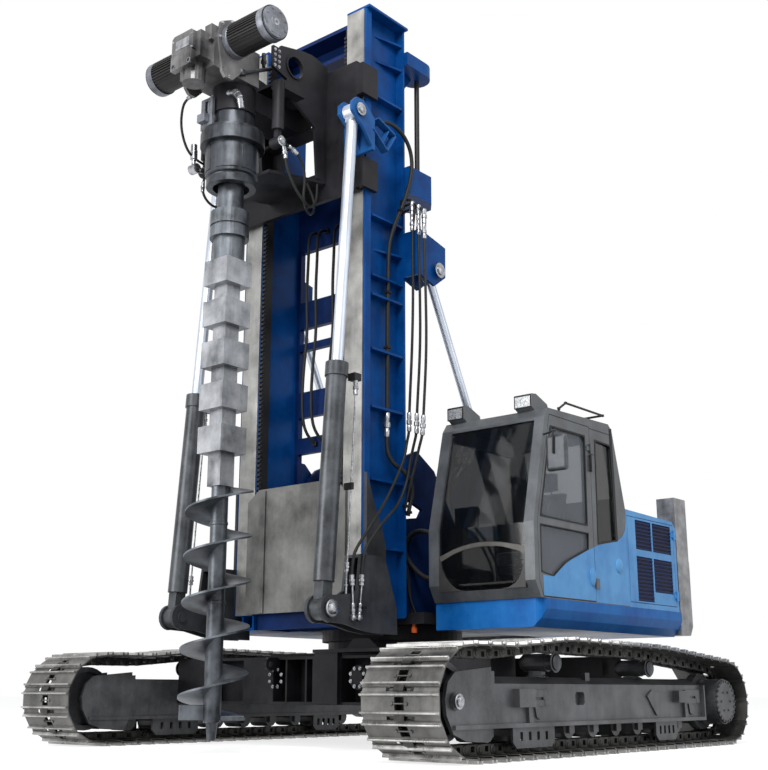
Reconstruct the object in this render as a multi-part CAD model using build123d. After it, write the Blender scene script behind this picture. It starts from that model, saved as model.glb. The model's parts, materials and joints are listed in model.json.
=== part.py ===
from build123d import *
from math import cos, hypot, pi, radians, sin
import os

os.makedirs("parts", exist_ok=True)

# Tracked piling and drilling rig, in millimetres, standing on Z = 0.
# X runs forward, Y to the machine's left, Z up. Inside this file the slewing axis
# is X = 0; each piece is moved by ORIGIN_SHIFT when it is written, so that the
# stored origin is the middle of the whole length on the ground.
LEFT, RIGHT = 1, -1
RUN = 0.3                 # small running gap between pieces of different bodies
SEAT = 0.3                # gap between pieces that sit on each other
RUN_FIT = 0.06            # radial clearance of a pin in its bore

# Tracks
TRACK_Y = 2100            # centre line of one track
TRACK_REAR_X = -2585      # rearmost grouser tip
SHOE_W = 700
SHOE_PITCH = 175
CHAIN_W = 190
PIN_DEPTH = 80            # from the grouser tips to the line of the chain's pins
PLATE_JOINT, PLATE_IN = 50, 43      # heights above the pins: plates' meeting line, inner face
CHAIN_OUT, CHAIN_IN = 46, -45       # heights above the pins of the chain's two faces
SHOE_OUTLINE = [(-68, 80), (-56, 80), (-52, 55), (52, 55), (56, 80), (68, 80)]  # along, above
IDLER_X, IDLER_Z, IDLER_PIN_R = 2067, 425, 345
SPROCKET_Z, SPROCKET_PIN_R = 400, 320
SPROCKET_X = TRACK_REAR_X + SPROCKET_PIN_R * cos(SHOE_PITCH / 2 / SPROCKET_PIN_R) + PIN_DEPTH
CARRIER_X = (697, -863)   # two carrier rollers, front and rear
TOP_TIPS = [(1480, 851), (697, 922), (-100, 908), (-863, 899)]   # sag of the upper run, X, Z
CARRIER_TIP_Z = (922, 899)
CARRIER_R, CARRIER_GAP = 72, 6
ROLLER_R, ROLLER_STEP, ROLLER_COUNT = 85, 381, 9
ROLLER_FIRST_X = 1585
RIM_GAP = 0.7             # between a wheel's rim and the chain

# Track frames
FRAME_OUT_Y = TRACK_Y + 200
FRAME_IN_Y = TRACK_Y - 200
FRAME_BOTTOM, FRAME_TOP = 262, 550
FRAME_REAR_X = -1850
CHANNEL_Y, CHANNEL_TOP = 172, 312   # channel for the rollers: half width, roof
FLANGE_T, FLANGE_OUT = 30, 40
NOSE_X, NOSE_END_X = 1640, 2120
COVER_Y, COVER_R, COVER_NOTCHES = TRACK_Y + 290, 203, 24
DRUM_R = 212
# Guards under the frame: rear X, front X, bottom Z. Steps: rear X, front X, bottom Z, top Z.
GUARDS = [(770, 1350, 79), (-1330, -915, 72)]
STEPS = [(1123, 1343, 378, 512), (-1490, -1270, 395, 500)]

# Car body
BODY_HALF_X, BODY_HALF_Y = 760, 900
BODY_BOTTOM, BODY_TOP = 400, 838
BEAM_X, BEAM_L = BODY_HALF_X + 120, 350  # cross beams: centre and length along X
BEAM_Z = (375, 800)
SLEW_R, SLEW_H = 620, 110
TOW_EYE, TOW_EYE_R = (BODY_HALF_X + 390, -520, 735), 26

# House
DECK_BOTTOM, DECK_TOP = 1075, 1175
DECK_SIDE = 900
ARM_TOP = 1210
CAB_OUT_Y, CAB_IN_Y = 2100, 985
SKIRT_BOTTOM, SKIRT_TOP, SKIRT_TUCK, SKIRT_CORNER = 1014, 1250, 95, 90
CAB_FRONT = [(590, 1250), (672, 1390), (672, 1880), (448, 2820), (385, 2905)]
CAB_REAR_X, CAB_REAR_LEAN = -925, 200
CAB_WALL = 45
DOOR_REAR_X = -300
HINGE_PIN_R, HINGE_R = 7, 13
CAB_HINGE_X, HOOD_HINGE_X, DOOR_HINGE_Y = -303, -1867, 2114
CAB_HINGE_Z, HOOD_HINGE_Z = (1420, 2640), (1400, 2000)
SKIRT_FRONT_X = 576
DOOR_GAP = 6
HOOD_REAR_X, HOOD_TOP, HOOD_IN_Y = -1915, 2165, -650
HOOD_FRONT_X, HOOD_MIDDLE_X = -913, -1060
HOOD_WALL = 40
# Louvred fields of the hood's door: rear X, front X, bottom Z, top Z, number of slats
LOUVRES = [(-1405, -1090, 1800, 2080, 8), (-1810, -1430, 1800, 2080, 8),
           (-1405, -1090, 1315, 1735, 12), (-1810, -1430, 1415, 1735, 9)]
LOUVRE_DEPTH = 12
WEIGHT_REAR_X, POST_TOP, POST_W = -2213, 2398, 195
TANK_OUT_Y, TANK_TOP, TANK_IN_Y = -2080, 1850, 985
SUPPORT_Y = (545, 582)

# Mast
RAIL_X = 1355             # front face of the steel rails
RAIL_IN, RAIL_OUT = 561, 775
COL_OUT = 801             # outer edge of the flanges
WEB_Y, WEB_T = 711, 25
FLANGE_X, FLANGE_DEPTH = 1341, 72
COL_REAR_X, REAR_FLANGE = 765, 25
MAST_BOTTOM, MAST_TOP = 1035, 6960
FOOT_CUT = (120, 105)     # bevel at the rear of the mast's foot, along X and up
PIVOT_X, PIVOT_Z, PIVOT_R = 590, 2450, 60
RACK_W = 34
RIB_T, RIB_END_X = 22, 1230
TOP_RIBS = (910, 2160, 2750, 2940, 3460)   # distances below the mast's top
FOOT_RIBS = (1925, 1265, 665)              # distances above the mast's bottom
HALF_RIBS = (210, 480, 2460)               # shorter ribs, distances below the top
FRONT_PLATE = [(-616, 1175), (616, 1175), (616, 2211), (472, 2319), (-472, 2319), (-616, 2211)]
FRONT_PLATE_BAR = (374, 440)

# Feed cylinders, one each side
FEED_Y = 903
FEED_PIN = (1970, 1135)
ROD_PIN = (1650, 5650)
BARREL_R, FEED_ROD_R = 88, 52
BARREL_TOP_S = 2085       # along the cylinder from the lower pin
BARREL_BORE_S, FEED_ROD_S = 245, 1900   # floor of the bore, and the rod's inner end at rest
# Back stays, one each side
STAY_Y = 887
STAY_TOP = (524, 4394)
STAY_FOOT = (-860, 1649)
STAY_ROD_R, STAY_BARREL_R = 40, 60
STAY_BARREL_S = 1650
STAY_ROD_S = 1250

# Carriage and drilling head
CARRIAGE_Z = (4960, 6330)
SIDE_PLATE_Y = 350
SIDE_PLATE = [(1435, 6380), (1590, 6425), (1663, 6432), (1795, 6415), (2073, 6348), (2073, 6310),
              (2175, 6310), (2175, 6094), (1989, 6040), (2007, 5921), (1602, 5689), (1560, 5180),
              (1435, 5180)]
SIDE_HOLE, SIDE_HOLE_R = (1887, 6197), 103
AXIS_X = 2295
MOTOR_X, MOTOR_Z, MOTOR_R, MOTOR_END_Y = 2562, 6194, 160, 812
HEAD_FRONT_X = 2935
GEARBOX_Y, GEARBOX_Z = 230, 5900
MOTOR_FLANGE = [(2592, 6416), (2716, 6349), (2746, 6190), (2683, 5868), (2643, 5822), (2560, 5822),
                (2440, 5950), (2385, 6190), (2420, 6349), (2500, 6416)]
SADDLE_Z, SADDLE_R = 5640, 205
SPINDLE_BOTTOM, DRUM_BOTTOM, RING_BOTTOM, RING_TOP = 4825, 5016, 5315, 5464
SPINDLE_R, DRUM_R_HEAD, RING_R = 199, 242, 296
# Drill string on the axis
SHAFT_R, SHAFT_TOP = 118, 5290
COUPLING_R, COUPLING_Z = 176, (4430, 4681)
TUBE_R = 73
FLIGHT_R, FLIGHT_T = 286, 16
PITCH, TURN_STEPS = 379, 24
FLIGHT_BOTTOM, FLIGHT_TURNS = 480, 4.4
TIP_Z, TUBE_BOTTOM, TUBE_TOP = 107, 400, 2180
BLOCK, NECK = 295, 160
BLOCK_H, BLOCK_COUNT, BLOCK_FIRST_Z = 232, 5, 2463

ORIGIN_SHIFT = -(HEAD_FRONT_X + TRACK_REAR_X) / 2


def box(x, y, z):
    """A box from three (low, high) pairs."""
    size = [abs(b - a) for a, b in (x, y, z)]
    mid = [(a + b) / 2 for a, b in (x, y, z)]
    return Pos(*mid) * Box(*size)


def tube_y(x, z, y0, y1, r, bore=0):
    """A round bar along Y, bored through when a bore radius is given."""
    turn = Pos(x, (y0 + y1) / 2, z) * Rot(90, 0, 0)
    bar = turn * Cylinder(r, abs(y1 - y0))
    return bar - turn * Cylinder(bore, abs(y1 - y0) + 2) if bore else bar


def tube_z(x, y, z0, z1, r, bore=0):
    """A round bar along Z, bored through when a bore radius is given."""
    mid = Pos(x, y, (z0 + z1) / 2)
    bar = mid * Cylinder(r, z1 - z0)
    return bar - mid * Cylinder(bore, z1 - z0 + 2) if bore else bar


def plate_y(points, y0, y1):
    """A plate of the outline in X, Z between two Y levels."""
    outline = Plane.XZ * make_face(Polyline(*points, close=True))
    low = min(y0, y1)
    return Pos(0, low, 0) * extrude(outline, abs(y1 - y0), dir=(0, 1, 0))


def plate_z(points, z0, z1):
    """A plate of the outline in X, Y between two Z levels."""
    return extrude(Pos(0, 0, z0) * make_face(Polyline(*points, close=True)), z1 - z0)


def plate_x(points, x0, x1):
    """A plate of the outline in Y, Z between two X levels."""
    outline = Plane.YZ * make_face(Polyline(*points, close=True))
    low = min(x0, x1)
    return Pos(low, 0, 0) * extrude(outline, abs(x1 - x0), dir=(1, 0, 0))


def fuse(pieces):
    """All the pieces as one shape."""
    whole = pieces[0]
    for piece in pieces[1:]:
        whole = whole + piece
    return whole


def mirrored(shape):
    """The same shape on the machine's other side."""
    return mirror(shape, about=Plane.XZ)


def both(shape):
    """The shape and its mirror image, as one node."""
    return Compound(children=[*shape.solids(), *mirrored(shape).solids()])


def together(*shapes):
    """Separate solids that share a node."""
    return Compound(children=[s for shape in shapes for s in shape.solids()])


def write(name, shape):
    """Move a piece into the stored frame and write its file."""
    moved = Pos(ORIGIN_SHIFT, 0, 0) * shape
    solids = moved.solids()
    export_step(solids[0] if len(solids) == 1 else Compound(children=solids), f"parts/{name}.step")


def arc_points(cx, cz, r, a0, a1, steps):
    """Points on an arc, angles in degrees from +X towards +Z."""
    turn = (a1 - a0) / steps
    return [(cx + r * cos(radians(a0 + turn * i)), cz + r * sin(radians(a0 + turn * i)))
            for i in range(steps + 1)]


def even_points(x, z, r, sides):
    """Corners of an even polygon in X, Z, one of them straight below the centre."""
    return [(x + r * sin(2 * pi * i / sides), z - r * cos(2 * pi * i / sides)) for i in range(sides)]


def prism_y(x, z, y0, y1, r, sides):
    """A bar of even flat sides along Y."""
    return plate_y(even_points(x, z, r, sides), y0, y1)


def prism_z(x, y, z0, z1, r, sides):
    """A bar of even flat sides along Z."""
    return plate_z(even_points(x, y, r, sides), z0, z1)


def bar_of(p, q, r, sides):
    """A bar of even flat sides between two points."""
    reach = [b - a for a, b in zip(p, q)]
    return extrude(Plane(origin=p, z_dir=reach) * RegularPolygon(r, sides), hypot(*reach))


def track_line():
    """The closed line of the chain's pins, from its rearmost point round below."""
    return (arc_points(SPROCKET_X, SPROCKET_Z, SPROCKET_PIN_R, 180, 270, 30)
            + arc_points(IDLER_X, IDLER_Z, IDLER_PIN_R, -90, 90, 60)
            + [(x, z - PIN_DEPTH) for x, z in TOP_TIPS]
            + arc_points(SPROCKET_X, SPROCKET_Z, SPROCKET_PIN_R, 90, 180, 30))


def chain_pins():
    """The chain's pins at even distances along their line."""
    line = track_line()
    spans = [hypot(b[0] - a[0], b[1] - a[1]) for a, b in zip(line, line[1:])]
    count = round(sum(spans) / SHOE_PITCH)
    pitch = sum(spans) / count
    pins = []
    passed = 0
    for a, b, span in zip(line, line[1:], spans):
        while len(pins) < count and (len(pins) + 0.5) * pitch <= passed + span:
            share = ((len(pins) + 0.5) * pitch - passed) / span
            pins.append((a[0] + (b[0] - a[0]) * share, a[1] + (b[1] - a[1]) * share))
        passed += span
    return pins


def chain_loop(pins, joint, shoe):
    """Closed outline over the chain: a point above each pin, then one link's shoe outline."""
    points = []
    for before, pin, after in zip(pins[-1:] + pins, pins, pins[1:] + pins[:1]):
        span = hypot(after[0] - pin[0], after[1] - pin[1])
        last = hypot(pin[0] - before[0], pin[1] - before[1])
        dx, dz = (after[0] - pin[0]) / span, (after[1] - pin[1]) / span
        bx, bz = dx + (pin[0] - before[0]) / last, dz + (pin[1] - before[1]) / last
        lift = 2 * joint / (bx * bx + bz * bz)
        points.append((pin[0] + bz * lift, pin[1] - bx * lift))
        mx, mz = (pin[0] + after[0]) / 2, (pin[1] + after[1]) / 2
        points += [(mx + s * dx + t * dz, mz + s * dz - t * dx) for s, t in shoe]
    return points


def track(side):
    """One track: the band of double-bar shoes over the narrower chain band."""
    pins = chain_pins()
    y0, y1 = TRACK_Y - SHOE_W / 2, TRACK_Y + SHOE_W / 2
    band = plate_y(chain_loop(pins, PLATE_JOINT, SHOE_OUTLINE), y0, y1)
    band = band - plate_y(chain_loop(pins, PLATE_IN, []), y0 - 1, y1 + 1)
    c0, c1 = TRACK_Y - CHAIN_W / 2, TRACK_Y + CHAIN_W / 2
    chain = plate_y(chain_loop(pins, CHAIN_OUT, []), c0, c1)
    chain = chain - plate_y(chain_loop(pins, CHAIN_IN, []), c0 - 1, c1 + 1)
    whole = band + chain
    return whole if side == LEFT else mirrored(whole)


def nose_outline():
    """Outline of the idler cover at the front of a track frame."""
    return [(NOSE_X, 669), (2085, 630), (2170, 560), (2205, 440), (2190, 330),
            (2110, 200), (1960, 150), (1700, 135), (NOSE_X, FRAME_BOTTOM)]


def guard(x0, x1, bottom, y):
    """Roller guard below the frame, with bevelled lower corners and four slots."""
    top, bevel = FRAME_BOTTOM - FLANGE_T, 45
    plate = plate_y([(x0, top), (x0, bottom + bevel), (x0 + bevel, bottom), (x1 - bevel, bottom),
                     (x1, bottom + bevel), (x1, top)], y, y + 22)
    step = (x1 - x0) / 5
    for i in range(1, 5):
        middle = x0 + i * step
        plate = plate - box((middle - 18, middle + 18), (y - 1, y + 23), (bottom + 55, top - 35))
    return plate


def track_frame(side):
    """Box beam with its lower flange, idler covers, guards and steps."""
    flange_top, out = FRAME_BOTTOM, FRAME_OUT_Y
    flange_z = (FRAME_BOTTOM - FLANGE_T, FRAME_BOTTOM)
    beam = plate_x([(FRAME_IN_Y, flange_top), (out, flange_top), (out, FRAME_TOP),
                    (out - 150, FRAME_TOP + 55), (FRAME_IN_Y, FRAME_TOP + 55)], FRAME_REAR_X, NOSE_X)
    flange = box((FRAME_REAR_X, NOSE_X), (FRAME_IN_Y - 20, out + FLANGE_OUT), flange_z)
    channel = box((FRAME_REAR_X - 1, NOSE_X + 60), (TRACK_Y - CHANNEL_Y, TRACK_Y + CHANNEL_Y),
                  (FRAME_BOTTOM - FLANGE_T - 1, CHANNEL_TOP))
    covers = [plate_y(nose_outline(), y, y + 30) for y in (out - 18, FRAME_IN_Y - 12)]
    strips = [box((NOSE_X, NOSE_END_X), y, flange_z)
              for y in ((out - 18, out + FLANGE_OUT), (FRAME_IN_Y - 20, FRAME_IN_Y + 18))]
    bulkhead = box((NOSE_X - 40, NOSE_X), (FRAME_IN_Y - 12, out + 12), (FRAME_BOTTOM - FLANGE_T, 640))
    guards = [guard(x0, x1, bottom, y) for x0, x1, bottom in GUARDS for y in (out - 26, FRAME_IN_Y + 4)]
    steps = [box((x0, x1), (out, out + 60), (z0, z1)) for x0, x1, z0, z1 in STEPS]
    feet = [plate_y([(x0 + 50, z0), (x0 + 5, z0), (x0 - 25, flange_top), (x0 + 40, flange_top)],
                    out, out + 26) for x0, x1, z0, z1 in STEPS]
    stands = [plate_x([(TRACK_Y - 110, FRAME_TOP + 50), (TRACK_Y + 110, FRAME_TOP + 50),
                       (TRACK_Y + 70, 622), (TRACK_Y - 70, 622)], x - 25, x + 25) for x in CARRIER_X]
    lug = box((75, 145), (out - 120, out - 80), (FRAME_TOP + 20, FRAME_TOP + 95))
    axle = prism_y(IDLER_X + 30, IDLER_Z, out + 12, out + 32, 62, 16) + tube_y(
        IDLER_X + 30, IDLER_Z, out + 30, out + 56, 40)
    rear = box((FRAME_REAR_X - 50, FRAME_REAR_X), (FRAME_IN_Y, out), (FRAME_BOTTOM, FRAME_TOP - 20))
    rear_edge = box((FRAME_REAR_X, FRAME_REAR_X + 24), (out, out + FLANGE_OUT), (FRAME_BOTTOM, FRAME_TOP))
    whole = fuse([beam, flange, bulkhead]) - channel
    whole = fuse([whole, rear, rear_edge, *covers, *strips, *guards, *steps, *feet, *stands, lug, axle])
    x, z, w, h, c = 375, 438, 72, 52, 20    # square hole: place, half sides, bevel
    hole = [(x - w, z - h + c), (x - w + c, z - h), (x + w - c, z - h), (x + w, z - h + c),
            (x + w, z + h - c), (x + w - c, z + h), (x - w + c, z + h), (x - w, z + h - c)]
    whole = whole - plate_y(hole, out - 60, out + 1)
    return whole if side == LEFT else mirrored(whole)


def idlers():
    """Front idler wheels with their centre flange and axle."""
    rim = IDLER_PIN_R * cos(SHOE_PITCH / 2 / IDLER_PIN_R) + CHAIN_IN - RIM_GAP
    x, z = IDLER_X, IDLER_Z
    wheel = prism_y(x, z, TRACK_Y - 85, TRACK_Y + 85, rim, 32)
    for y0, y1 in ((TRACK_Y + 30, TRACK_Y + 86), (TRACK_Y - 86, TRACK_Y - 30)):
        wheel = wheel - prism_y(x, z, y0, y1, rim - 45, 24)
    axle = prism_y(x, z, FRAME_IN_Y + 18 + SEAT, FRAME_OUT_Y - 18 - SEAT, 60, 16)
    return both(wheel + axle)


def notched_outline(x, z, r, depth, count):
    """A disc's outline in X, Z with square notches all round."""
    points = []
    for i in range(count):
        for share, radius in ((0.0, r), (0.55, r), (0.65, r - depth), (0.9, r - depth)):
            turn = 2 * pi * (i + share) / count
            points.append((x + radius * cos(turn), z + radius * sin(turn)))
    return points


def final_drives():
    """Rear sprockets with the drive drum and its notched cover."""
    x, z = SPROCKET_X, SPROCKET_Z
    rim = SPROCKET_PIN_R * cos(SHOE_PITCH / 2 / SPROCKET_PIN_R) + CHAIN_IN - RIM_GAP
    sprocket = prism_y(x, z, TRACK_Y - 40, TRACK_Y + 40, rim, 32)
    drum = prism_y(x, z, FRAME_IN_Y - 60, COVER_Y - 22, DRUM_R, 32)
    arm = box((FRAME_REAR_X - 190, FRAME_REAR_X - 50 - SEAT), (FRAME_IN_Y + 60, FRAME_IN_Y + 100), (290, 500))
    cover = plate_y(notched_outline(x, z, COVER_R, 12, COVER_NOTCHES), COVER_Y - 22, COVER_Y)
    return both(fuse([sprocket, drum, cover, arm]))


def rollers():
    """Bottom rollers and carrier rollers of both tracks."""
    pieces = []
    z = PIN_DEPTH - CHAIN_IN + ROLLER_R + SEAT
    for i in range(ROLLER_COUNT):
        x = ROLLER_FIRST_X - i * ROLLER_STEP
        body = prism_y(x, z, TRACK_Y - 125, TRACK_Y + 125, ROLLER_R, 12)
        ends = box((x - 40, x + 40), (TRACK_Y - 155, TRACK_Y + 155), (z - 42, CHANNEL_TOP - SEAT))
        pieces.append(body + ends)
    for x, tip in zip(CARRIER_X, CARRIER_TIP_Z):
        cz = tip - PIN_DEPTH + CHAIN_IN - CARRIER_R - SEAT - CARRIER_GAP
        body = prism_y(x, cz, TRACK_Y - 110, TRACK_Y + 110, CARRIER_R, 16)
        shaft = prism_y(x, cz, TRACK_Y - 140, TRACK_Y + 150, 50, 12)
        cap = prism_y(x, cz, TRACK_Y + 100, TRACK_Y + 175, 62, 16)
        foot = box((x - 30, x + 30), (TRACK_Y - 60, TRACK_Y + 60), (622 + SEAT, cz))
        pieces.append(fuse([body, shaft, cap, foot]))
    return both(together(*pieces))


def car_body():
    """Centre box, its two cross beams to the track frames and the lower slewing race."""
    half = BEAM_L / 2
    centre = box((-BODY_HALF_X, BODY_HALF_X), (-BODY_HALF_Y, BODY_HALF_Y), (BODY_BOTTOM, BODY_TOP))
    reach = FRAME_IN_Y - SEAT
    beams = [box((s * BEAM_X - half, s * BEAM_X + half), (-reach, reach), BEAM_Z) for s in (1, -1)]
    race = prism_z(0, 0, BODY_TOP, BODY_TOP + SLEW_H, SLEW_R, 48)
    whole = fuse([centre, *beams, race])
    front = BEAM_X + half
    for y0, y1 in ((-560, -400), (-380, -150), (-130, -60), (290, 770), (-1450, -960)):
        whole = whole - box((front - 190, front + 1), (y0, y1), (400, 775))
    block = box((front - 20, front + 45), (3, 283), (380, 842))
    roof = box((front - 160, front + 55), (-10, 790), (826, 856))
    gusset = plate_x([(300, 850), (700, 850), (580, 945), (400, 945)], front - 60, front - 36)
    hub = (plate_x(even_points(503, 610, 105, 24), front - 195, front + 10)
           + plate_x(even_points(503, 610, 60, 16), front, front + 30))
    x, y, z = TOW_EYE
    lug = box((front - 20, x), (y - 22, y + 22), (z - 60, z + 60)) + tube_y(x, z, y - 22, y + 22, 60)
    lug = lug - tube_y(x, z, y - 30, y + 30, TOW_EYE_R)
    return fuse([whole, block, roof, gusset, hub, lug])


def slew_ring():
    """Upper slewing ring bolted under the house."""
    z0 = BODY_TOP + SLEW_H + RUN
    ring = prism_z(0, 0, z0, DECK_BOTTOM - SEAT, SLEW_R + 60, 48)
    return ring - prism_z(0, 0, z0 - 1, DECK_BOTTOM + 1, 240, 32)


def deck():
    """House frame: deck plate, arms to both sides and the lugs of the back stays."""
    plate = box((HOOD_REAR_X - 40, 640), (-DECK_SIDE, DECK_SIDE), (DECK_BOTTOM, DECK_TOP))
    foot_x, foot_z = STAY_FOOT
    ears = [plate_y([(foot_x - 170, DECK_TOP - 5), (foot_x + 220, DECK_TOP - 5), (foot_x + 80, foot_z + 55),
                     (foot_x - 70, foot_z + 55)], y, y + 26) for y in (STAY_Y - 66, STAY_Y + 40)]
    pad = box((foot_x - 170, foot_x + 220), (STAY_Y - 66, STAY_Y + 66), (DECK_BOTTOM, DECK_TOP))
    side = fuse([*ears, pad]) - tube_y(foot_x, foot_z, STAY_Y - 80, STAY_Y + 80, 40 + RUN_FIT)
    cab_arm = box((-1850, 470), (DECK_SIDE, CAB_OUT_Y - 160), (DECK_BOTTOM, ARM_TOP))
    cab_arm = cab_arm - box((foot_x - 175, foot_x + 225), (DECK_SIDE - 1, STAY_Y + 66),
                            (DECK_BOTTOM - 1, ARM_TOP + 1))
    right_arms = [box(x, (-TANK_IN_Y + SEAT, -DECK_SIDE), (DECK_BOTTOM, DECK_TOP))
                  for x in ((-1850, -1150), (-550, 100))]
    return fuse([plate, side, mirrored(side), cab_arm, *right_arms])


def mast_support():
    """Frame on the deck that carries the mast's tilting pivot, two plates and their ties."""
    outline = [(-760, DECK_TOP + SEAT), (-660, 1500), (60, 2560), (330, 2720), (520, 2640), (650, 2520),
               (665, 2450), (650, 2380), (560, 2300), (460, 2230), (250, 2160), (300, 2080), (440, 2060),
               (440, DECK_TOP + SEAT)]
    y0, y1 = SUPPORT_Y
    cheek = plate_y(outline, y0, y1)
    pin = tube_y(PIVOT_X, PIVOT_Z, y0, 665, PIVOT_R)
    front = box((400, 440), (-y0 - 1, y0 + 1), (DECK_TOP + SEAT, 2060))
    back = plate_y([(-700, 1180), (-640, 1180), (-600, 1490), (-640, 1500)], -y0 - 1, y0 + 1)
    tie = tube_y(330, 2560, -y0 - 1, y0 + 1, 90)
    return fuse([cheek, mirrored(cheek), pin, mirrored(pin), front, back, tie])


def skirt():
    """Blue belt under the cab and the hood, tucked in below and open on top."""
    z0, z1 = SKIRT_BOTTOM, SKIRT_TOP - SEAT
    front, rear = SKIRT_FRONT_X, HOOD_REAR_X - 40
    inner_y, r = DECK_SIDE + 86, SKIRT_CORNER
    outline = [(inner_y, z0), (CAB_OUT_Y - SKIRT_TUCK, z0), (CAB_OUT_Y - 30, z0 + 70),
               (CAB_OUT_Y, z0 + 150), (CAB_OUT_Y, z1), (inner_y, z1)]
    corner = arc_points(front - r, CAB_OUT_Y - r, r, 0, 90, 6)
    plan = plate_z([(rear, inner_y), (front, inner_y), *corner, (rear, CAB_OUT_Y)], z0 - 1, z1 + 1)
    body = plate_x(outline, rear, front) & plan
    inner = box((rear + 40, front - 40), (DECK_SIDE + 50, CAB_OUT_Y - 150), (DECK_BOTTOM - SEAT, z1 + 1))
    return body - inner


def cab_side_outline():
    """Side outline of the cab shell in X, Z."""
    rear = CAB_REAR_X
    return CAB_FRONT + [(rear + CAB_REAR_LEAN + 60, 2935), (rear + CAB_REAR_LEAN, 2880),
                        (rear + 15, HOOD_TOP), (rear + 15, SKIRT_TOP)]


def roof_z(x):
    """Height of the roof's skin at an X."""
    front_x, front_z = CAB_FRONT[-1]
    return front_z + (front_x - x) * 30 / (front_x - CAB_REAR_X - CAB_REAR_LEAN - 60)


def hinge_fixed(x, y, z, side_x):
    """Fixed half of a door hinge: pin, two knuckles and the leaf behind them."""
    pin = tube_z(x, y, z - 45, z + 45, HINGE_PIN_R)
    knuckles = [tube_z(x, y, z + s * 33 - 12, z + s * 33 + 12, HINGE_R) for s in (1, -1)]
    leaf = box((x - 8, x + side_x * 66), (y - 17, y - 5), (z - 45, z + 45))
    leaf = leaf - tube_z(x, y, z - 21, z + 21, HINGE_R + 3)
    return fuse([pin, *knuckles, leaf])


def hinge_moving(x, y, z, side_x):
    """Moving half of a door hinge: the middle knuckle and its leaf."""
    knuckle = tube_z(x, y, z - 20.5, z + 20.5, HINGE_R)
    leaf = box((x, x + side_x * 66), (y - 17, y - 5), (z - 20.5, z + 20.5))
    return knuckle + leaf - tube_z(x, y, z - 30, z + 30, HINGE_PIN_R + RUN_FIT)


UPPER_PANE = [(563, 1936), (361, 2744), (-216, 2748), (-202, 1930)]
LOWER_PANE = [(572, 1863), (-215, 1860), (-204, 1717), (190, 1570), (385, 1440), (572, 1462)]
REAR_PANE = [(-399, 2738), (-684, 2729), (-729, 1843), (-383, 1784)]
DOOR_OUTLINE = [(548, SKIRT_TOP + 14), (608, 1400), (612, 1890), (372, 2845), (DOOR_REAR_X, 2843),
                (DOOR_REAR_X, SKIRT_TOP + 14)]
SCREEN_Y, SCREEN_Z = (1095, 2000), (1335, 2795)
BACK_Z = (2260, 2790)
INNER_PANE = [(560, 1480), (560, 1890), (380, 2740), (-640, 2740), (-700, 1900), (-700, 1480)]


def offset_outline(points, gap):
    """The outline grown by a gap, as a face in X, Z."""
    face = make_face(Polyline(*points, close=True))
    return offset(face, gap)


def plate_of(face, y0, y1):
    """A plate of a face drawn in X, Z."""
    low = min(y0, y1)
    return Pos(0, low, 0) * extrude(Plane.XZ * face, abs(y1 - y0), dir=(0, 1, 0))


def cab_shell():
    """Hollow cab with its floor, roof, door opening and window openings."""
    face = make_face(Polyline(*cab_side_outline(), close=True))
    outer = plate_of(face, CAB_IN_Y, CAB_OUT_Y)
    cavity = plate_of(offset(face, -CAB_WALL), CAB_IN_Y + CAB_WALL, CAB_OUT_Y - CAB_WALL)
    shell = outer - cavity
    shell = shell - plate_of(offset_outline(DOOR_OUTLINE, DOOR_GAP), CAB_OUT_Y - CAB_WALL - 5, CAB_OUT_Y + 5)
    shell = shell - plate_y(REAR_PANE, CAB_OUT_Y - 60, CAB_OUT_Y + 5)
    shell = shell - plate_y(INNER_PANE, CAB_IN_Y - 5, CAB_IN_Y + CAB_WALL + 5)
    shell = shell - box((300, 720), SCREEN_Y, SCREEN_Z)
    shell = shell - box((CAB_REAR_X - 10, CAB_REAR_X + 330), SCREEN_Y, BACK_Z)
    return fuse([shell, *[hinge_fixed(CAB_HINGE_X, DOOR_HINGE_Y, z, -1) for z in CAB_HINGE_Z]])


def cab_glass():
    """Windscreen, rear pane, inner side pane and the small side pane."""
    face = make_face(Polyline(*cab_side_outline(), close=True))
    y0, y1 = SCREEN_Y[0] + SEAT, SCREEN_Y[1] - SEAT
    z0, z1 = SCREEN_Z[0] + SEAT, SCREEN_Z[1] - SEAT
    ring = plate_of(offset(face, -18), y0, y1) - plate_of(offset(face, -26), y0 - 1, y1 + 1)
    screen = ring & box((250, 800), (y0, y1), (z0, z1))
    rear = ring & box((CAB_REAR_X, CAB_REAR_X + 330), (y0, y1), (BACK_Z[0] + SEAT, BACK_Z[1] - SEAT))
    side = plate_of(offset(make_face(Polyline(*INNER_PANE, close=True)), -SEAT), CAB_IN_Y + 15, CAB_IN_Y + 23)
    small = plate_of(offset(make_face(Polyline(*REAR_PANE, close=True)), -SEAT),
                     CAB_OUT_Y - 26, CAB_OUT_Y - 18)
    return together(screen, side, small, rear)


def cab_door():
    """Door with its two window openings, handle and hinge barrels."""
    slab = plate_y(DOOR_OUTLINE, CAB_OUT_Y - CAB_WALL, CAB_OUT_Y)
    slab = slab - plate_y(UPPER_PANE, CAB_OUT_Y - 60, CAB_OUT_Y + 5)
    slab = slab - plate_y(LOWER_PANE, CAB_OUT_Y - 60, CAB_OUT_Y + 5)
    handle = Pos(-249, CAB_OUT_Y + 8, 1475) * Rot(90, 0, 0) * extrude(Ellipse(34, 62), 14, both=True)
    return fuse([slab, handle, *[hinge_moving(CAB_HINGE_X, DOOR_HINGE_Y, z, 1) for z in CAB_HINGE_Z]])


def door_glass():
    """The door's two panes."""
    panes = []
    for outline in (UPPER_PANE, LOWER_PANE):
        face = offset(make_face(Polyline(*outline, close=True)), -SEAT)
        panes.append(plate_of(face, CAB_OUT_Y - 26, CAB_OUT_Y - 18))
    return together(*panes)


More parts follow.
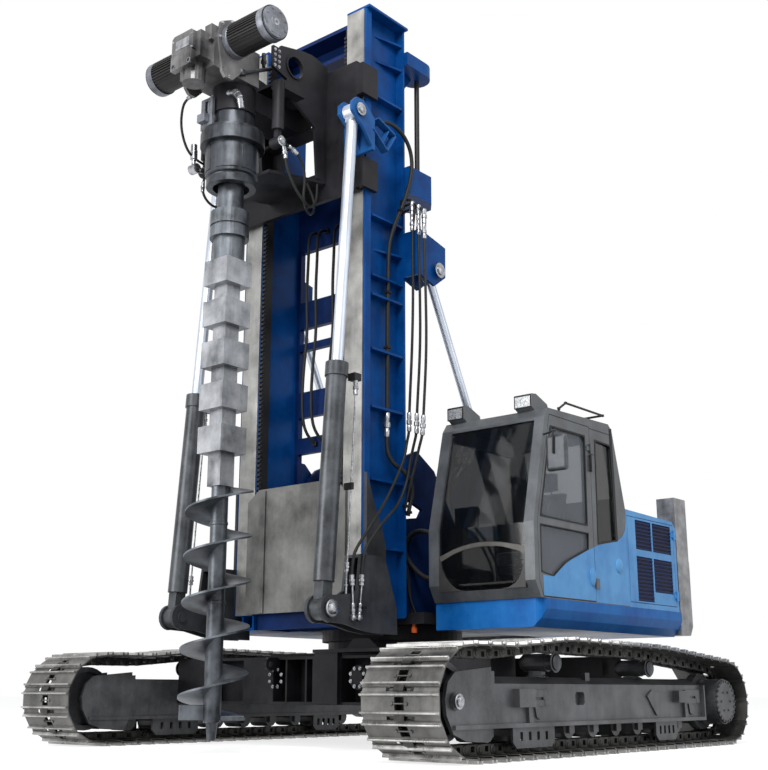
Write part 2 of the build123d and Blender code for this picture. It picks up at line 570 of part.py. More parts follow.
def seat():
    """Operator's seat: pedestal, cushion, back and head rest."""
    y = (CAB_IN_Y + CAB_OUT_Y) / 2
    floor = SKIRT_TOP + CAB_WALL + SEAT
    pedestal = box((-330, 50), (y - 180, y + 180), (floor, floor + 290))
    cushion = box((-380, 130), (y - 250, y + 250), (floor + 290, floor + 420))
    back = plate_y([(-390, floor + 420), (-270, floor + 420), (-360, floor + 1010),
                    (-460, floor + 1010)], y - 235, y + 235)
    rest = box((-465, -375), (y - 130, y + 130), (floor + 1010, floor + 1200))
    return fuse([pedestal, cushion, back, rest])


def console():
    """Front panel, levers and the two arm consoles."""
    y = (CAB_IN_Y + CAB_OUT_Y) / 2
    floor = SKIRT_TOP + CAB_WALL + SEAT
    pieces = []
    for side in (1, -1):
        pod_y = y + side * 375
        pod = box((-260, 240), (pod_y - 75, pod_y + 75), (floor, floor + 560))
        lever = prism_z(190, pod_y, floor + 560, floor + 780, 16, 8)
        knob = prism_z(190, pod_y, floor + 770, floor + 830, 34, 12)
        pieces.append(fuse([pod, lever, knob]))
    inner = CAB_IN_Y + CAB_WALL
    panel = box((330, 400), (inner + 60, inner + 140), (floor, floor + 640))
    screen = box((325, 365), (inner + 20, inner + 260), (floor + 640, floor + 820))
    pieces.append(panel + screen)
    return together(*pieces)


def roof_lamps():
    """Two work lamps on the front edge of the roof."""
    pieces = []
    for y in (1126, 1868):
        x, z = 290, 2925
        foot = [(i, roof_z(i) + SEAT) for i in (x - 150, x + 90)]
        outline = [*foot, (x + 130, z + 5), (x + 135, z + 125), (x + 60, z + 135), (x - 120, z + 70)]
        pieces.append(plate_y(outline, y - 90, y + 90))
    return together(*pieces)


def roof_rail():
    """Grab rail along the roof's outer edge."""
    y, top, r, sides = CAB_OUT_Y - 40, 3020, 11, 8
    x0, x1, inner = 140, -640, CAB_OUT_Y - 300
    line = [(x0, y, roof_z(x0) + SEAT), (x0, y, roof_z(x0) + 35), (20, y, top), (x1, y, top),
            (x1, inner, top), (x1, inner, roof_z(x1) + SEAT)]
    bars = [bar_of(p, q, r, sides) for p, q in zip(line, line[1:])]
    knots = [Pos(*p) * Box(2 * r, 2 * r, 2 * r) for p in line[1:-1]]
    return fuse([*bars, *knots])


def mirror_set():
    """Rear-view mirror on its arm at the front pillar."""
    x, y, z, half = 540, 2270, 2455, 8
    root_x, root_y, arm_z = 465, CAB_OUT_Y + SEAT, 2650
    arm = plate_z([(root_x - half, root_y), (root_x + half, root_y), (root_x + half, root_y + 55),
                   (x + half, y - half), (x + half, y + half), (x - half, y + half), (x - half, y - half),
                   (root_x - half, root_y + 62)], arm_z - half, arm_z + half)
    stem = box((x - half, x + half), (y - half, y + half), (z + 100, arm_z))
    head = plate_x([(y - 100, z - 115), (y - 60, z - 155), (y + 60, z - 155), (y + 100, z - 115),
                    (y + 100, z + 115), (y + 60, z + 155), (y - 60, z + 155), (y - 100, z + 115)],
                   x - 30, x + 30)
    return fuse([arm, stem, head])


def hood():
    """Engine hood behind the cab: an L-shaped shell, open at the left where the door sits."""
    x0, x1, xm = HOOD_REAR_X, HOOD_FRONT_X, HOOD_MIDDLE_X
    z0, z1, w = SKIRT_TOP + SEAT, HOOD_TOP - 6, HOOD_WALL
    side = plate_y([(x0, z0), (x1, z0), (x1, z1), (x0 + 60, z1 - 22), (x0, z1 - 80)], HOOD_IN_Y, CAB_OUT_Y)
    plan = [(x0, HOOD_IN_Y), (xm, HOOD_IN_Y), (xm, CAB_IN_Y), (x1, CAB_IN_Y), (x1, CAB_OUT_Y),
            (x0, CAB_OUT_Y)]
    hollow = plate_y([(x0 + w, z0 - 1), (x1 - w, z0 - 1), (x1 - w, z1 - w), (x0 + w + 60, z1 - w - 22),
                      (x0 + w, z1 - w - 60)], HOOD_IN_Y + w, CAB_OUT_Y - w)
    inner = [(x0 + w, HOOD_IN_Y + w), (xm - w, HOOD_IN_Y + w), (xm - w, CAB_IN_Y + w), (x1 - w, CAB_IN_Y + w),
             (x1 - w, CAB_OUT_Y - w), (x0 + w, CAB_OUT_Y - w)]
    shell = (side & plate_z(plan, z0, z1)) - (hollow & plate_z(inner, z0 - 2, z1))
    shell = shell - box((x0 + 45, x1 - 20), (CAB_OUT_Y - w - 5, CAB_OUT_Y + 5), (z0 + 45, z1 - 55))
    return fuse([shell, *[hinge_fixed(HOOD_HINGE_X, DOOR_HINGE_Y, z, -0.55) for z in HOOD_HINGE_Z]])


def grille_door():
    """Side door of the hood with its four louvred fields."""
    x0, x1 = HOOD_REAR_X + 45 + DOOR_GAP, HOOD_FRONT_X - 20 - DOOR_GAP
    z0, z1 = SKIRT_TOP + SEAT + 45 + DOOR_GAP, HOOD_TOP - 6 - 55 - DOOR_GAP
    slab = box((x0, x1), (CAB_OUT_Y - 36, CAB_OUT_Y), (z0, z1))
    slats = []
    floor = CAB_OUT_Y - LOUVRE_DEPTH
    for fx0, fx1, fz0, fz1, count in LOUVRES:
        slab = slab - box((fx0, fx1), (floor, CAB_OUT_Y + 1), (fz0, fz1))
        step = (fz1 - fz0) / count
        for i in range(count):
            z = fz0 + (i + 0.25) * step
            slats.append(plate_x([(floor - 1, z), (CAB_OUT_Y - 1, z), (floor - 1, z + step * 0.7)],
                                 fx0 - 1, fx1 + 1))
    hinges = [hinge_moving(HOOD_HINGE_X, DOOR_HINGE_Y, z, 0.7) for z in HOOD_HINGE_Z]
    return fuse([slab, *slats, *hinges])


def engine_block():
    """The engine as one plain block at its place."""
    return box((-1700, -1150), (350, 1650), (ARM_TOP + SEAT, 1960))


def counterweight():
    """Rear weight across the house, with a raised post at each rear corner."""
    front = HOOD_REAR_X - 40 - SEAT
    low = plate_y([(front, 1030), (WEIGHT_REAR_X + 60, 1030), (WEIGHT_REAR_X, 1120), (WEIGHT_REAR_X, 1760),
                   (WEIGHT_REAR_X + 40, 1800), (front, 1800)], TANK_OUT_Y, CAB_OUT_Y - 10)
    post = box((WEIGHT_REAR_X + 8, front), (CAB_OUT_Y - 10 - POST_W, CAB_OUT_Y - 10), (1120, POST_TOP))
    far = box((WEIGHT_REAR_X + 8, front), (TANK_OUT_Y, TANK_OUT_Y + POST_W), (1120, POST_TOP))
    return fuse([low, post, far])


def right_tank():
    """Fuel and oil tank box on the right of the house, with its step."""
    body = box((HOOD_REAR_X - 30, 150), (TANK_OUT_Y, -TANK_IN_Y), (DECK_BOTTOM, TANK_TOP))
    step = box((150, 480), (TANK_OUT_Y, -TANK_IN_Y), (DECK_BOTTOM, DECK_BOTTOM + 200))
    caps = [tube_z(x, -1500, TANK_TOP, TANK_TOP + 50, 70) for x in (-1300, -500)]
    return fuse([body, step, *caps])


def foot_bevel(half):
    """Cutter for the bevel at the rear of the mast's foot."""
    run, rise = FOOT_CUT
    x, z = COL_REAR_X - 1, MAST_BOTTOM - 1
    return plate_y([(x, z), (x + run, z), (x, z + rise)], -half, half)


def mast_column():
    """Left column: front and rear flanges, web, inner wall, ribs and the two lugs behind it."""
    bottom, top, rear_x = MAST_BOTTOM, MAST_TOP, COL_REAR_X
    front = box((FLANGE_X - FLANGE_DEPTH, FLANGE_X), (RAIL_IN - 10, COL_OUT), (bottom + 130, top))
    rear = box((rear_x, rear_x + REAR_FLANGE), (RAIL_IN - 10, COL_OUT), (bottom, top))
    web = box((rear_x, FLANGE_X - 10), (WEB_Y - WEB_T, WEB_Y), (bottom, top))
    inner = box((rear_x, FLANGE_X - 10), (RAIL_IN - 10, RAIL_IN + 12), (bottom, top))
    foot = box((rear_x, FLANGE_X - 10), (RAIL_IN - 10, WEB_Y), (bottom, bottom + 25))
    cap = box((rear_x - 10, FLANGE_X + 5), (RAIL_IN - 10, COL_OUT + 40), (top - 25, top))
    levels = [top - d for d in TOP_RIBS] + [bottom + d for d in FOOT_RIBS]
    ribs = [box((rear_x + 5, RIB_END_X), (WEB_Y - 5, COL_OUT - 8), (z, z + RIB_T)) for z in levels]
    half = [plate_z([(rear_x + 10, WEB_Y - 5), (rear_x + 10, COL_OUT - 8), (1160, WEB_Y - 5)],
                    top - d, top - d + RIB_T) for d in HALF_RIBS]
    body = fuse([front, rear, web, inner, foot, cap, *ribs, *half]) - foot_bevel(COL_OUT + 1)
    lug = plate_y([(rear_x + 5, 2250), (rear_x + 5, 2700), (640, 2690), (530, 2590), (505, 2450),
                   (530, 2340), (640, 2265)], 600, 640)
    lug = lug - tube_y(PIVOT_X, PIVOT_Z, 590, 650, PIVOT_R + RUN_FIT)
    x, z = STAY_TOP
    outline = [(rear_x + 20, 4750), (x - 25, 4690), (x - 135, 4665), (x - 130, 4360), (x + 40, z - 160),
               (rear_x + 20, 4300)]
    ears = [plate_y(outline, COL_OUT - 26, COL_OUT - 2), plate_y(outline, 975, 1000)]
    roof = plate_y([(rear_x, 4725), (rear_x, 4750), (x - 25, 4690), (x - 25, 4665)], COL_OUT - 10, 985)
    side = box((rear_x, rear_x + REAR_FLANGE), (COL_OUT - 10, 1000), (4300, 4750))
    pin = tube_y(x, z, COL_OUT - 26, 1036, 38)
    return fuse([body, lug, *ears, roof, side, pin])


def mast_cross_frame():
    """Rear plate between the columns with its row of windows, and the top beam."""
    x0, x1 = COL_REAR_X + 20, COL_REAR_X + 80
    half = RAIL_IN - 10 - SEAT
    plate = box((x0, x1), (-half, half), (1200, 5400))
    for z0, z1 in ((4308, 4847), (3869, 4027), (3366, 3795), (2900, 3106), (2350, 2742), (1700, 2200)):
        plate = plate - box((x0 - 1, x1 + 1), (-half + 45, half - 45), (z0, z1))
    top = box((980, 1220), (-half, half), (MAST_TOP - 360, MAST_TOP - 20))
    top = top - box((1010, 1221), (-half + 20, half - 20), (MAST_TOP - 320, MAST_TOP - 60))
    foot = box((COL_REAR_X + 20, 1290), (-half, half), (MAST_BOTTOM, 1230))
    foot = foot - box((900, 1230), (-half + 30, half - 30), (MAST_BOTTOM - 1, 1200))
    return together(plate + foot - foot_bevel(half + 1), top)


def mast_rails():
    """Steel rail plates on the front of the columns."""
    return both(box((FLANGE_X + SEAT, RAIL_X), (RAIL_IN, RAIL_OUT), (1170, MAST_TOP - 30)))


def mast_racks():
    """Toothed racks on the inner edges of the rails."""
    side = RAIL_IN - 10 - SEAT
    rail = box((1240, RAIL_X - 30), (side - RACK_W, side), (1250, MAST_TOP - 150))
    return both(rail)


def front_plate():
    """Steel guard plate low on the front of the mast, with its two upright bars."""
    x0, x1 = RAIL_X + SEAT, RAIL_X + 30
    plate = plate_x(FRONT_PLATE, x0, x1)
    inner, outer = FRONT_PLATE_BAR
    bars = [box((x1 - 1, x1 + 14), (s * inner, s * outer), (1178, 2300)) for s in (1, -1)]
    return fuse([plate, *bars])


def foot_plates():
    """Side plates at the mast foot, with the ears for the feed cylinders."""
    x, z = FEED_PIN
    front = RAIL_X - 10
    upper = plate_y([(front, 2350), (1325, 2300), (1218, 2026), (1138, 1875), (1085, 1710), (1090, 1590),
                     (1130, 1560), (1130, 1240), (front, 1240)], COL_OUT + SEAT, COL_OUT + 32)
    hub = arc_points(x, z, 112, -105, 105, 10)
    ear = [(1129, 957), (1386, 957), (1564, 975), (1790, 1020), *hub, (1700, 1268), (1640, 1300),
           (1600, 1600), (1305, 1600), (1259, 1514), (1203, 1352), (1138, 1179)]
    outer = plate_y(ear, FEED_Y + 62, FEED_Y + 92)
    inner = plate_y(ear, FEED_Y - 92, FEED_Y - 62)
    shelf = box((1300, 1600), (FEED_Y - 92, FEED_Y + 92), (1575, 1600))
    web = box((1210, 1240), (FEED_Y - 92, FEED_Y + 92), (965, 1360))
    pin = tube_y(x, z, FEED_Y - 110, FEED_Y + 110, 48)
    return both(fuse([upper, outer, inner, shelf, web, pin]))


def mast_head():
    """Round bracket behind the mast top, its rod and the guide block below."""
    y0, y1 = 540, COL_OUT + 39
    rear = COL_REAR_X - SEAT
    lobe_z = (MAST_TOP - 400, MAST_TOP - 260)
    lobe = plate_z([(rear, y0), (rear, y1), *arc_points(450, 690, 150, 90, 270, 10)], *lobe_z)
    gusset = plate_y([(rear, lobe_z[0] - 360), (rear, lobe_z[0] + 10), (480, lobe_z[0] + 10)], 640, 664)
    rod = prism_z(430, 690, 5450, lobe_z[0], 24, 12)
    block = plate_z([(rear, 520), (rear, 860), (420, 860), (300, 760), (300, 620), (420, 520)], 5160, 5450)
    block = block - box((300, 430), (645, 735), (5230, 5380))
    return fuse([lobe, gusset, rod, block])


def carriage():
    """Carriage frame: back plate, rail guides, side plates, shelves and the saddle."""
    z0, z1 = CARRIAGE_Z
    back_x = (RAIL_X + 34, RAIL_X + 84)
    back = box(back_x, (-760, 760), (z0 + 40, z1))
    back = back - box((RAIL_X + 30, RAIL_X + 90), (-230, 230), (5300, 6000))
    behind = FLANGE_X - FLANGE_DEPTH - 45
    guides = []
    for gz in ((z0 + 60, z0 + 360), (z1 - 360, z1 - 40)):
        for s in (1, -1):
            shoe = box((RAIL_X + 0.5, RAIL_X + 40), (s * 590, s * 770), gz)
            hook = box((behind, RAIL_X + 60), (s * (COL_OUT + 6), s * (COL_OUT + 44)), gz)
            link = box(back_x, (s * 740, s * (COL_OUT + 44)), gz)
            lip = box((behind, behind + 37), (s * (COL_OUT - 6), s * (COL_OUT + 44)), gz)
            guides.append(fuse([shoe, hook, link, lip]))
    x, z = SIDE_HOLE
    plates = []
    for s in (1, -1):
        plate = plate_y(SIDE_PLATE, s * SIDE_PLATE_Y, s * (SIDE_PLATE_Y + 30))
        plate = plate + tube_y(x, z, s * (SIDE_PLATE_Y + 30), s * (SIDE_PLATE_Y + 42), SIDE_HOLE_R + 16)
        plates.append(plate - tube_y(x, z, s * SIDE_PLATE_Y - 50, s * SIDE_PLATE_Y + 50, SIDE_HOLE_R))
    wall = (-SIDE_PLATE_Y, SIDE_PLATE_Y)
    shelf = box((RAIL_X + 80, 1989), wall, (6040, 6070))
    cross = box((RAIL_X + 80, 1602), wall, (5670, 5700))
    floor = plate_y([(RAIL_X + 80, 5190), (RAIL_X + 80, 5160), (2193, 5020), (2193, 5048)],
                    -SIDE_PLATE_Y - 30, SIDE_PLATE_Y + 30)
    floor = floor - prism_z(AXIS_X, 0, 4900, 5400, DRUM_R_HEAD + 20, 24)
    saddle = tube_z(AXIS_X, 0, SADDLE_Z, GEARBOX_Z, SADDLE_R)
    arm = box((RAIL_X + 80, AXIS_X), (-170, 170), (SADDLE_Z + 60, GEARBOX_Z))
    return fuse([back, *guides, *plates, shelf, cross, floor, saddle, arm])


def rod_brackets():
    """Blue clevis brackets that carry the feed rods on the carriage."""
    x, z = ROD_PIN
    outline = [(RAIL_X + 90, z - 330), (RAIL_X + 250, z - 150), (x + 105, z - 40), (x + 105, z + 50),
               (x + 50, z + 110), (x - 50, z + 115), (RAIL_X + 90, z - 10)]
    pieces = [plate_y(outline, y, y + 30) for y in (FEED_Y - 92, FEED_Y + 62)]
    back = box((RAIL_X + 90, RAIL_X + 120), (FEED_Y - 92, FEED_Y + 92), (z - 330, z - 10))
    foot = box((RAIL_X + 84 + SEAT, RAIL_X + 120), (640, FEED_Y + 92), (z - 330, z - 10))
    pin = tube_y(x, z, FEED_Y - 105, FEED_Y + 108, 36)
    return both(fuse([*pieces, back, foot, pin]))


def gearbox():
    """Drive gearbox between the two motors."""
    y, z = GEARBOX_Y, GEARBOX_Z + SEAT
    body = box((AXIS_X - 90, 2760), (-y, y), (z, 6250))
    step = box((2750, 2890), (-175, 190), (z + 60, 6215))
    lid = plate_x([(-160, 6040), (130, 6040), (130, 6215), (100, 6238), (-130, 6238), (-160, 6215)],
                  2880, 2925)
    cover = box((2880, HEAD_FRONT_X), (-155, 125), (5890, 6030))
    block = box((2640, 2800), (140, y), (6150, 6300))
    top = box((2300, 2600), (-120, 120), (6240, 6300))
    bulge = prism_z(2790, 0, 5780, z + 70, 105, 20)
    flanges = [plate_y(MOTOR_FLANGE, s * y, s * (y + 32)) for s in (1, -1)]
    return fuse([body, step, lid, cover, block, top, bulge, *flanges])


def motors():
    """Two drive motors on the gearbox, in line across the machine."""
    x, z, root, end = MOTOR_X, MOTOR_Z, GEARBOX_Y + 32 + SEAT, MOTOR_END_Y
    collar = prism_y(x, z, root, root + 70, MOTOR_R - 22, 24)
    body = prism_y(x, z, root + 60, end - 90, MOTOR_R - 10, 24)
    cap = tube_y(x, z, end - 95, end - 18, MOTOR_R)
    rim = tube_y(x, z, end - 20, end, MOTOR_R - 16)
    return both(fuse([collar, body, cap, rim]))


def spindle_housing():
    """Round housing of the spindle under the head, with its slotted bracket."""
    column = prism_z(AXIS_X, 0, RING_TOP, SADDLE_Z - SEAT, 190, 32)
    ring = prism_z(AXIS_X, 0, RING_BOTTOM, RING_TOP, RING_R, 48)
    drum = prism_z(AXIS_X, 0, DRUM_BOTTOM, RING_BOTTOM, DRUM_R_HEAD, 24)
    collar = prism_z(AXIS_X, 0, DRUM_BOTTOM - 80, DRUM_BOTTOM, DRUM_R_HEAD - 12, 36)
    nose = prism_z(AXIS_X, 0, SPINDLE_BOTTOM, DRUM_BOTTOM - 80, SPINDLE_R, 36)
    x0, x1 = AXIS_X + 215, AXIS_X + 250
    bracket = box((x0, x1), (-170, -20), (RING_TOP - 2, 5770))
    bracket = bracket - box((x0 - 1, x1 + 1), (-115, -77), (5600, 5740))
    block = box((x1 - 1, x1 + 55), (-160, -60), (5520, 5600))
    foot = plate_y([(AXIS_X + 120, RING_TOP - 2), (x0 + 5, RING_TOP - 2), (x0 + 5, 5620)], -70, -45)
    bore = tube_z(AXIS_X, 0, SPINDLE_BOTTOM - 5, SHAFT_TOP + 10, SHAFT_R + RUN_FIT)
    return fuse([column, ring, drum, collar, nose, bracket, block, foot]) - bore


def head_cylinders():
    """Small clamping cylinders beside the spindle."""
    x, y, eye_z = 2190, 480, 5277
    body = tube_z(x, y, 5400, 5880, 55)
    rod = box((x - 24, x + 24), (y - 24, y + 24), (eye_z + 10, 5405))
    eye = tube_y(x, eye_z, y - 55, y + 55, 52)
    tie = box((1870, x), (SIDE_PLATE_Y + 30 + SEAT, y + 20), (5840, 5920))
    return both(fuse([body, rod, eye, tie]))


def drill_shaft():
    """Turning shaft with its coupling ring and lower pipe."""
    low, high = COUPLING_Z
    shaft = tube_z(AXIS_X, 0, high - 5, SHAFT_TOP, SHAFT_R)
    ring = prism_z(AXIS_X, 0, low + 120, high, COUPLING_R, 36)
    collar = prism_z(AXIS_X, 0, low, low + 100, COUPLING_R, 36)
    groove = prism_z(AXIS_X, 0, low + 90, low + 130, COUPLING_R - 12, 36)
    top = BLOCK_FIRST_Z + (BLOCK_COUNT - 1) * PITCH + BLOCK_H
    pipe = prism_z(AXIS_X, 0, top + SEAT, low + 5, 141, 36)
    return fuse([shaft, ring, collar, groove, pipe])


def drill_string():
    """Square drive blocks on their narrower square bar."""
    base = BLOCK_FIRST_Z
    blocks = [Pos(AXIS_X, 0, base + i * PITCH + BLOCK_H / 2) * Box(BLOCK, BLOCK, BLOCK_H)
              for i in range(BLOCK_COUNT)]
    top = base + (BLOCK_COUNT - 1) * PITCH + BLOCK_H
    bar = Pos(AXIS_X, 0, (TUBE_TOP + top) / 2) * Box(NECK, NECK, top - TUBE_TOP)
    return fuse([bar, *blocks])


def flight():
    """One right-hand screw flight as a closed solid of flat triangles."""
    steps = round(FLIGHT_TURNS * TURN_STEPS)
    inner, outer = TUBE_R - 8, FLIGHT_R
    rows = []
    for i in range(steps + 1):
        turn = 2 * pi * i / TURN_STEPS
        z = FLIGHT_BOTTOM + PITCH * i / TURN_STEPS
        rows.append([(AXIS_X + r * cos(turn), r * sin(turn), z + rise)
                     for r, rise in ((inner, 0), (outer, 0), (outer, FLIGHT_T), (inner, FLIGHT_T))])
    corners = []
    for a, b in zip(rows, rows[1:]):
        for k in range(4):
            n = (k + 1) % 4
            corners += [(a[k], b[k], b[n]), (a[k], b[n], a[n])]
    for row in (rows[0], rows[-1]):
        corners += [(row[0], row[1], row[2]), (row[0], row[2], row[3])]
    faces = [Face(Wire.make_polygon(list(points), close=True)) for points in corners]
    return Solid(Shell(faces))


def auger():
    """Central tube with one right-hand flight and its pilot point."""
    turned = [(AXIS_X + TUBE_R * cos(2 * pi * i / TURN_STEPS), TUBE_R * sin(2 * pi * i / TURN_STEPS))
              for i in range(TURN_STEPS)]
    tube = plate_z(turned, TUBE_BOTTOM, TUBE_TOP - SEAT)
    height = TUBE_BOTTOM - TIP_Z
    pilot = Pos(AXIS_X, 0, TIP_Z + height / 2) * Cone(34, 60, height)
    return fuse([tube, flight(), pilot])


def along(pin, target, s):
    """The point at a distance s along the line from one pin to another, in X, Z."""
    length = hypot(target[0] - pin[0], target[1] - pin[1])
    return pin[0] + (target[0] - pin[0]) * s / length, pin[1] + (target[1] - pin[1]) * s / length


def line_plane(pin, target, y, s):
    """A plane square to the line between two pins, at a distance s along it."""
    x, z = along(pin, target, s)
    return Plane(origin=(x, y, z), x_dir=(0, 1, 0), z_dir=(target[0] - pin[0], 0, target[1] - pin[1]))


def bar_between(pin, target, y, s0, s1, r):
    """A round bar along the line between two pins, from s0 to s1."""
    return line_plane(pin, target, y, (s0 + s1) / 2) * Cylinder(r, s1 - s0)


def neck_between(pin, target, y, s0, s1, wide, deep):
    """A square bar along the line between two pins; wide is its size along Y."""
    return line_plane(pin, target, y, (s0 + s1) / 2) * Box(wide, deep, s1 - s0)


FEED_LENGTH = hypot(ROD_PIN[0] - FEED_PIN[0], ROD_PIN[1] - FEED_PIN[1])
STAY_LENGTH = hypot(STAY_TOP[0] - STAY_FOOT[0], STAY_TOP[1] - STAY_FOOT[1])


def feed_barrel(side):
    """Barrel of a feed cylinder with its lower eye and gland."""
    x, z = FEED_PIN
    line = FEED_PIN, ROD_PIN, FEED_Y
    eye = tube_y(x, z, FEED_Y - 56, FEED_Y + 56, 92)
    neck = neck_between(*line, 70, 230, 100, 110)
    shell = bar_between(*line, 220, BARREL_TOP_S - 120, BARREL_R)
    gland = bar_between(*line, BARREL_TOP_S - 120, BARREL_TOP_S, BARREL_R + 12)
    whole = fuse([eye, neck, shell, gland])
    whole = whole - tube_y(x, z, FEED_Y - 70, FEED_Y + 70, 48 + RUN_FIT)
    whole = whole - bar_between(*line, BARREL_BORE_S, BARREL_TOP_S + 2, FEED_ROD_R + 0.5)
    return whole if side == LEFT else mirrored(whole)


def feed_rod(side):
    """Bright rod of a feed cylinder with its upper eye."""
    x, z = ROD_PIN
    line = FEED_PIN, ROD_PIN, FEED_Y
    rod = bar_between(*line, FEED_ROD_S, FEED_LENGTH - 95, FEED_ROD_R)
    neck = neck_between(*line, FEED_LENGTH - 110, FEED_LENGTH - 60, 90, 90)
    eye = tube_y(x, z, FEED_Y - 57, FEED_Y + 57, 82)
    whole = fuse([rod, neck, eye]) - tube_y(x, z, FEED_Y - 60, FEED_Y + 60, 52)
    return whole if side == LEFT else mirrored(whole)


def stay_barrel(side):
    """Barrel of a back stay with its lower eye and pin."""
    x, z = STAY_FOOT
    line = STAY_FOOT, STAY_TOP, STAY_Y
    eye = tube_y(x, z, STAY_Y - 34, STAY_Y + 34, 70)
    neck = neck_between(*line, 55, 150, 56, 62)
    shell = bar_between(*line, 140, STAY_BARREL_S, STAY_BARREL_R)
    pin = tube_y(x, z, STAY_Y - 70, STAY_Y + 70, 40)
    whole = fuse([eye, neck, shell])
    whole = whole - bar_between(*line, 250, STAY_BARREL_S + 2, STAY_ROD_R + 0.5)
    whole = whole + pin
    return whole if side == LEFT else mirrored(whole)


def stay_rod(side):
    """Bright rod of a back stay with its upper eye."""
    x, z = STAY_TOP
    line = STAY_FOOT, STAY_TOP, STAY_Y
    rod = bar_between(*line, STAY_ROD_S, STAY_LENGTH - 92, STAY_ROD_R)
    neck = neck_between(*line, STAY_LENGTH - 105, STAY_LENGTH - 60, 66, 66)
    eye = tube_y(x, z, STAY_Y - 44, STAY_Y + 44, 78)
    whole = fuse([rod, neck, eye]) - tube_y(x, z, STAY_Y - 60, STAY_Y + 60, 52)
    return whole if side == LEFT else mirrored(whole)


NODES = {
    "track_left": lambda: track(LEFT),
    "track_right": lambda: track(RIGHT),
    "track_frame_left": lambda: track_frame(LEFT),
    "track_frame_right": lambda: track_frame(RIGHT),
    "idlers": idlers,
    "final_drives": final_drives,
    "rollers": rollers,
    "car_body": car_body,
    "slew_ring": slew_ring,
    "deck": deck,
    "mast_support": mast_support,
    "skirt": skirt,
    "cab_shell": cab_shell,
    "cab_glass": cab_glass,
    "cab_door": cab_door,
    "door_glass": door_glass,
    "seat": seat,
    "console": console,
    "roof_lamps": roof_lamps,
    "roof_rail": roof_rail,
    "mirror": mirror_set,
    "hood": hood,
    "grille_door": grille_door,
    "engine_block": engine_block,
    "counterweight": counterweight,
    "right_tank": right_tank,
    "mast_column_left": mast_column,
    "mast_column_right": lambda: mirrored(mast_column()),
    "mast_cross_frame": mast_cross_frame,
    "mast_rails": mast_rails,
    "mast_racks": mast_racks,
    "front_plate": front_plate,
    "foot_plates": foot_plates,
    "mast_head": mast_head,
    "carriage": carriage,
    "rod_brackets": rod_brackets,
    "gearbox": gearbox,
    "motors": motors,
    "spindle_housing": spindle_housing,
    "head_cylinders": head_cylinders,
    "drill_shaft": drill_shaft,
    "drill_string": drill_string,
    "auger": auger,
    "feed_barrel_left": lambda: feed_barrel(LEFT),
    "feed_barrel_right": lambda: feed_barrel(RIGHT),
    "feed_rod_left": lambda: feed_rod(LEFT),
    "feed_rod_right": lambda: feed_rod(RIGHT),
    "stay_barrel_left": lambda: stay_barrel(LEFT),
    "stay_barrel_right": lambda: stay_barrel(RIGHT),
    "stay_rod_left": lambda: stay_rod(LEFT),
    "stay_rod_right": lambda: stay_rod(RIGHT),
}

for node, make in NODES.items():
    write(node, make())
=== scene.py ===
# %% [markdown]
# # A tracked piling and drilling rig
# Two steel tracks carry a slewing house with a cab on the left, the engine behind it and an
# upright mast in front, where a rotary head slides and turns a screw auger. The main shapes come
# from the CAD frame. This lesson gives them finishes and adds what is too fine for it.

# %% Load the frame
import json
import math

import bmesh
import bpy
from mathutils import Euler, Matrix, Vector


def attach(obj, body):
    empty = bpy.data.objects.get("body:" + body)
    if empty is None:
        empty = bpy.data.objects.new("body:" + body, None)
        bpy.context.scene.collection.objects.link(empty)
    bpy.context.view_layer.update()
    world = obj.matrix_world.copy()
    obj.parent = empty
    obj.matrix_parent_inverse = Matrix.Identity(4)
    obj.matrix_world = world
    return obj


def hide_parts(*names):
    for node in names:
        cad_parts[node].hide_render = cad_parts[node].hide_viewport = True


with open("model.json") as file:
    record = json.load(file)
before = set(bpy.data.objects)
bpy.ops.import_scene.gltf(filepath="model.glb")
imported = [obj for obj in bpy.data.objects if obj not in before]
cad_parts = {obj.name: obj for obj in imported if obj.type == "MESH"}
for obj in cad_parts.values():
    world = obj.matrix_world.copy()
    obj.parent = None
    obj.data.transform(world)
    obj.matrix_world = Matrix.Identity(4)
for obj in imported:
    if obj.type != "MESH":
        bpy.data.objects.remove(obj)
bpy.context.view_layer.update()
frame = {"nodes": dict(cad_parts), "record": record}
scene = bpy.context.scene

# %% [markdown]
# Sizes are machine millimetres, with X = 0 on the slewing axis. `at` moves a point to the frame's
# own origin, in metres.

# %% From machine millimetres to the frame's metres
FRAME_SHIFT = -175
SIDES = ((1, "left"), (-1, "right"))


def at(x, y, z):
    """A machine point in millimetres as a frame point in metres."""
    return Vector(((x + FRAME_SHIFT) / 1000, y / 1000, z / 1000))


def shown(name, data):
    """A new object in the scene."""
    obj = bpy.data.objects.new(name, data)
    scene.collection.objects.link(obj)
    return obj


print("the slewing axis stands at", [round(v, 3) for v in at(0, 0, 0)])

# %% [markdown]
# Materials and Geometry Nodes are trees of nodes. `feed` fills a node's inputs with numbers,
# colours or other nodes' sockets, and `add` makes a node and fills it at once.

# %% Nodes in one line


def feed(tree, node, inputs):
    """Gives a node's inputs their numbers, colours or links."""
    for spot, value in inputs.items():
        if isinstance(value, bpy.types.NodeSocket):
            tree.links.new(value, node.inputs[spot])
        else:
            node.inputs[spot].default_value = value
    return node


def add(tree, kind, inputs=None, **settings):
    """A new node with its settings and inputs."""
    node = tree.nodes.new(kind)
    for name, value in settings.items():
        setattr(node, name, value)
    return feed(tree, node, inputs or {})


def calc(tree, kind, *values):
    """One Math node; each value is a socket or a number."""
    return add(tree, "ShaderNodeMath", dict(enumerate(values)), operation=kind).outputs[0]


def blank(name):
    """A new material with its tree and its shader."""
    mat = bpy.data.materials.new(name)
    mat.use_nodes = True
    return mat, mat.node_tree, mat.node_tree.nodes["Principled BSDF"]


print("node tools ready")

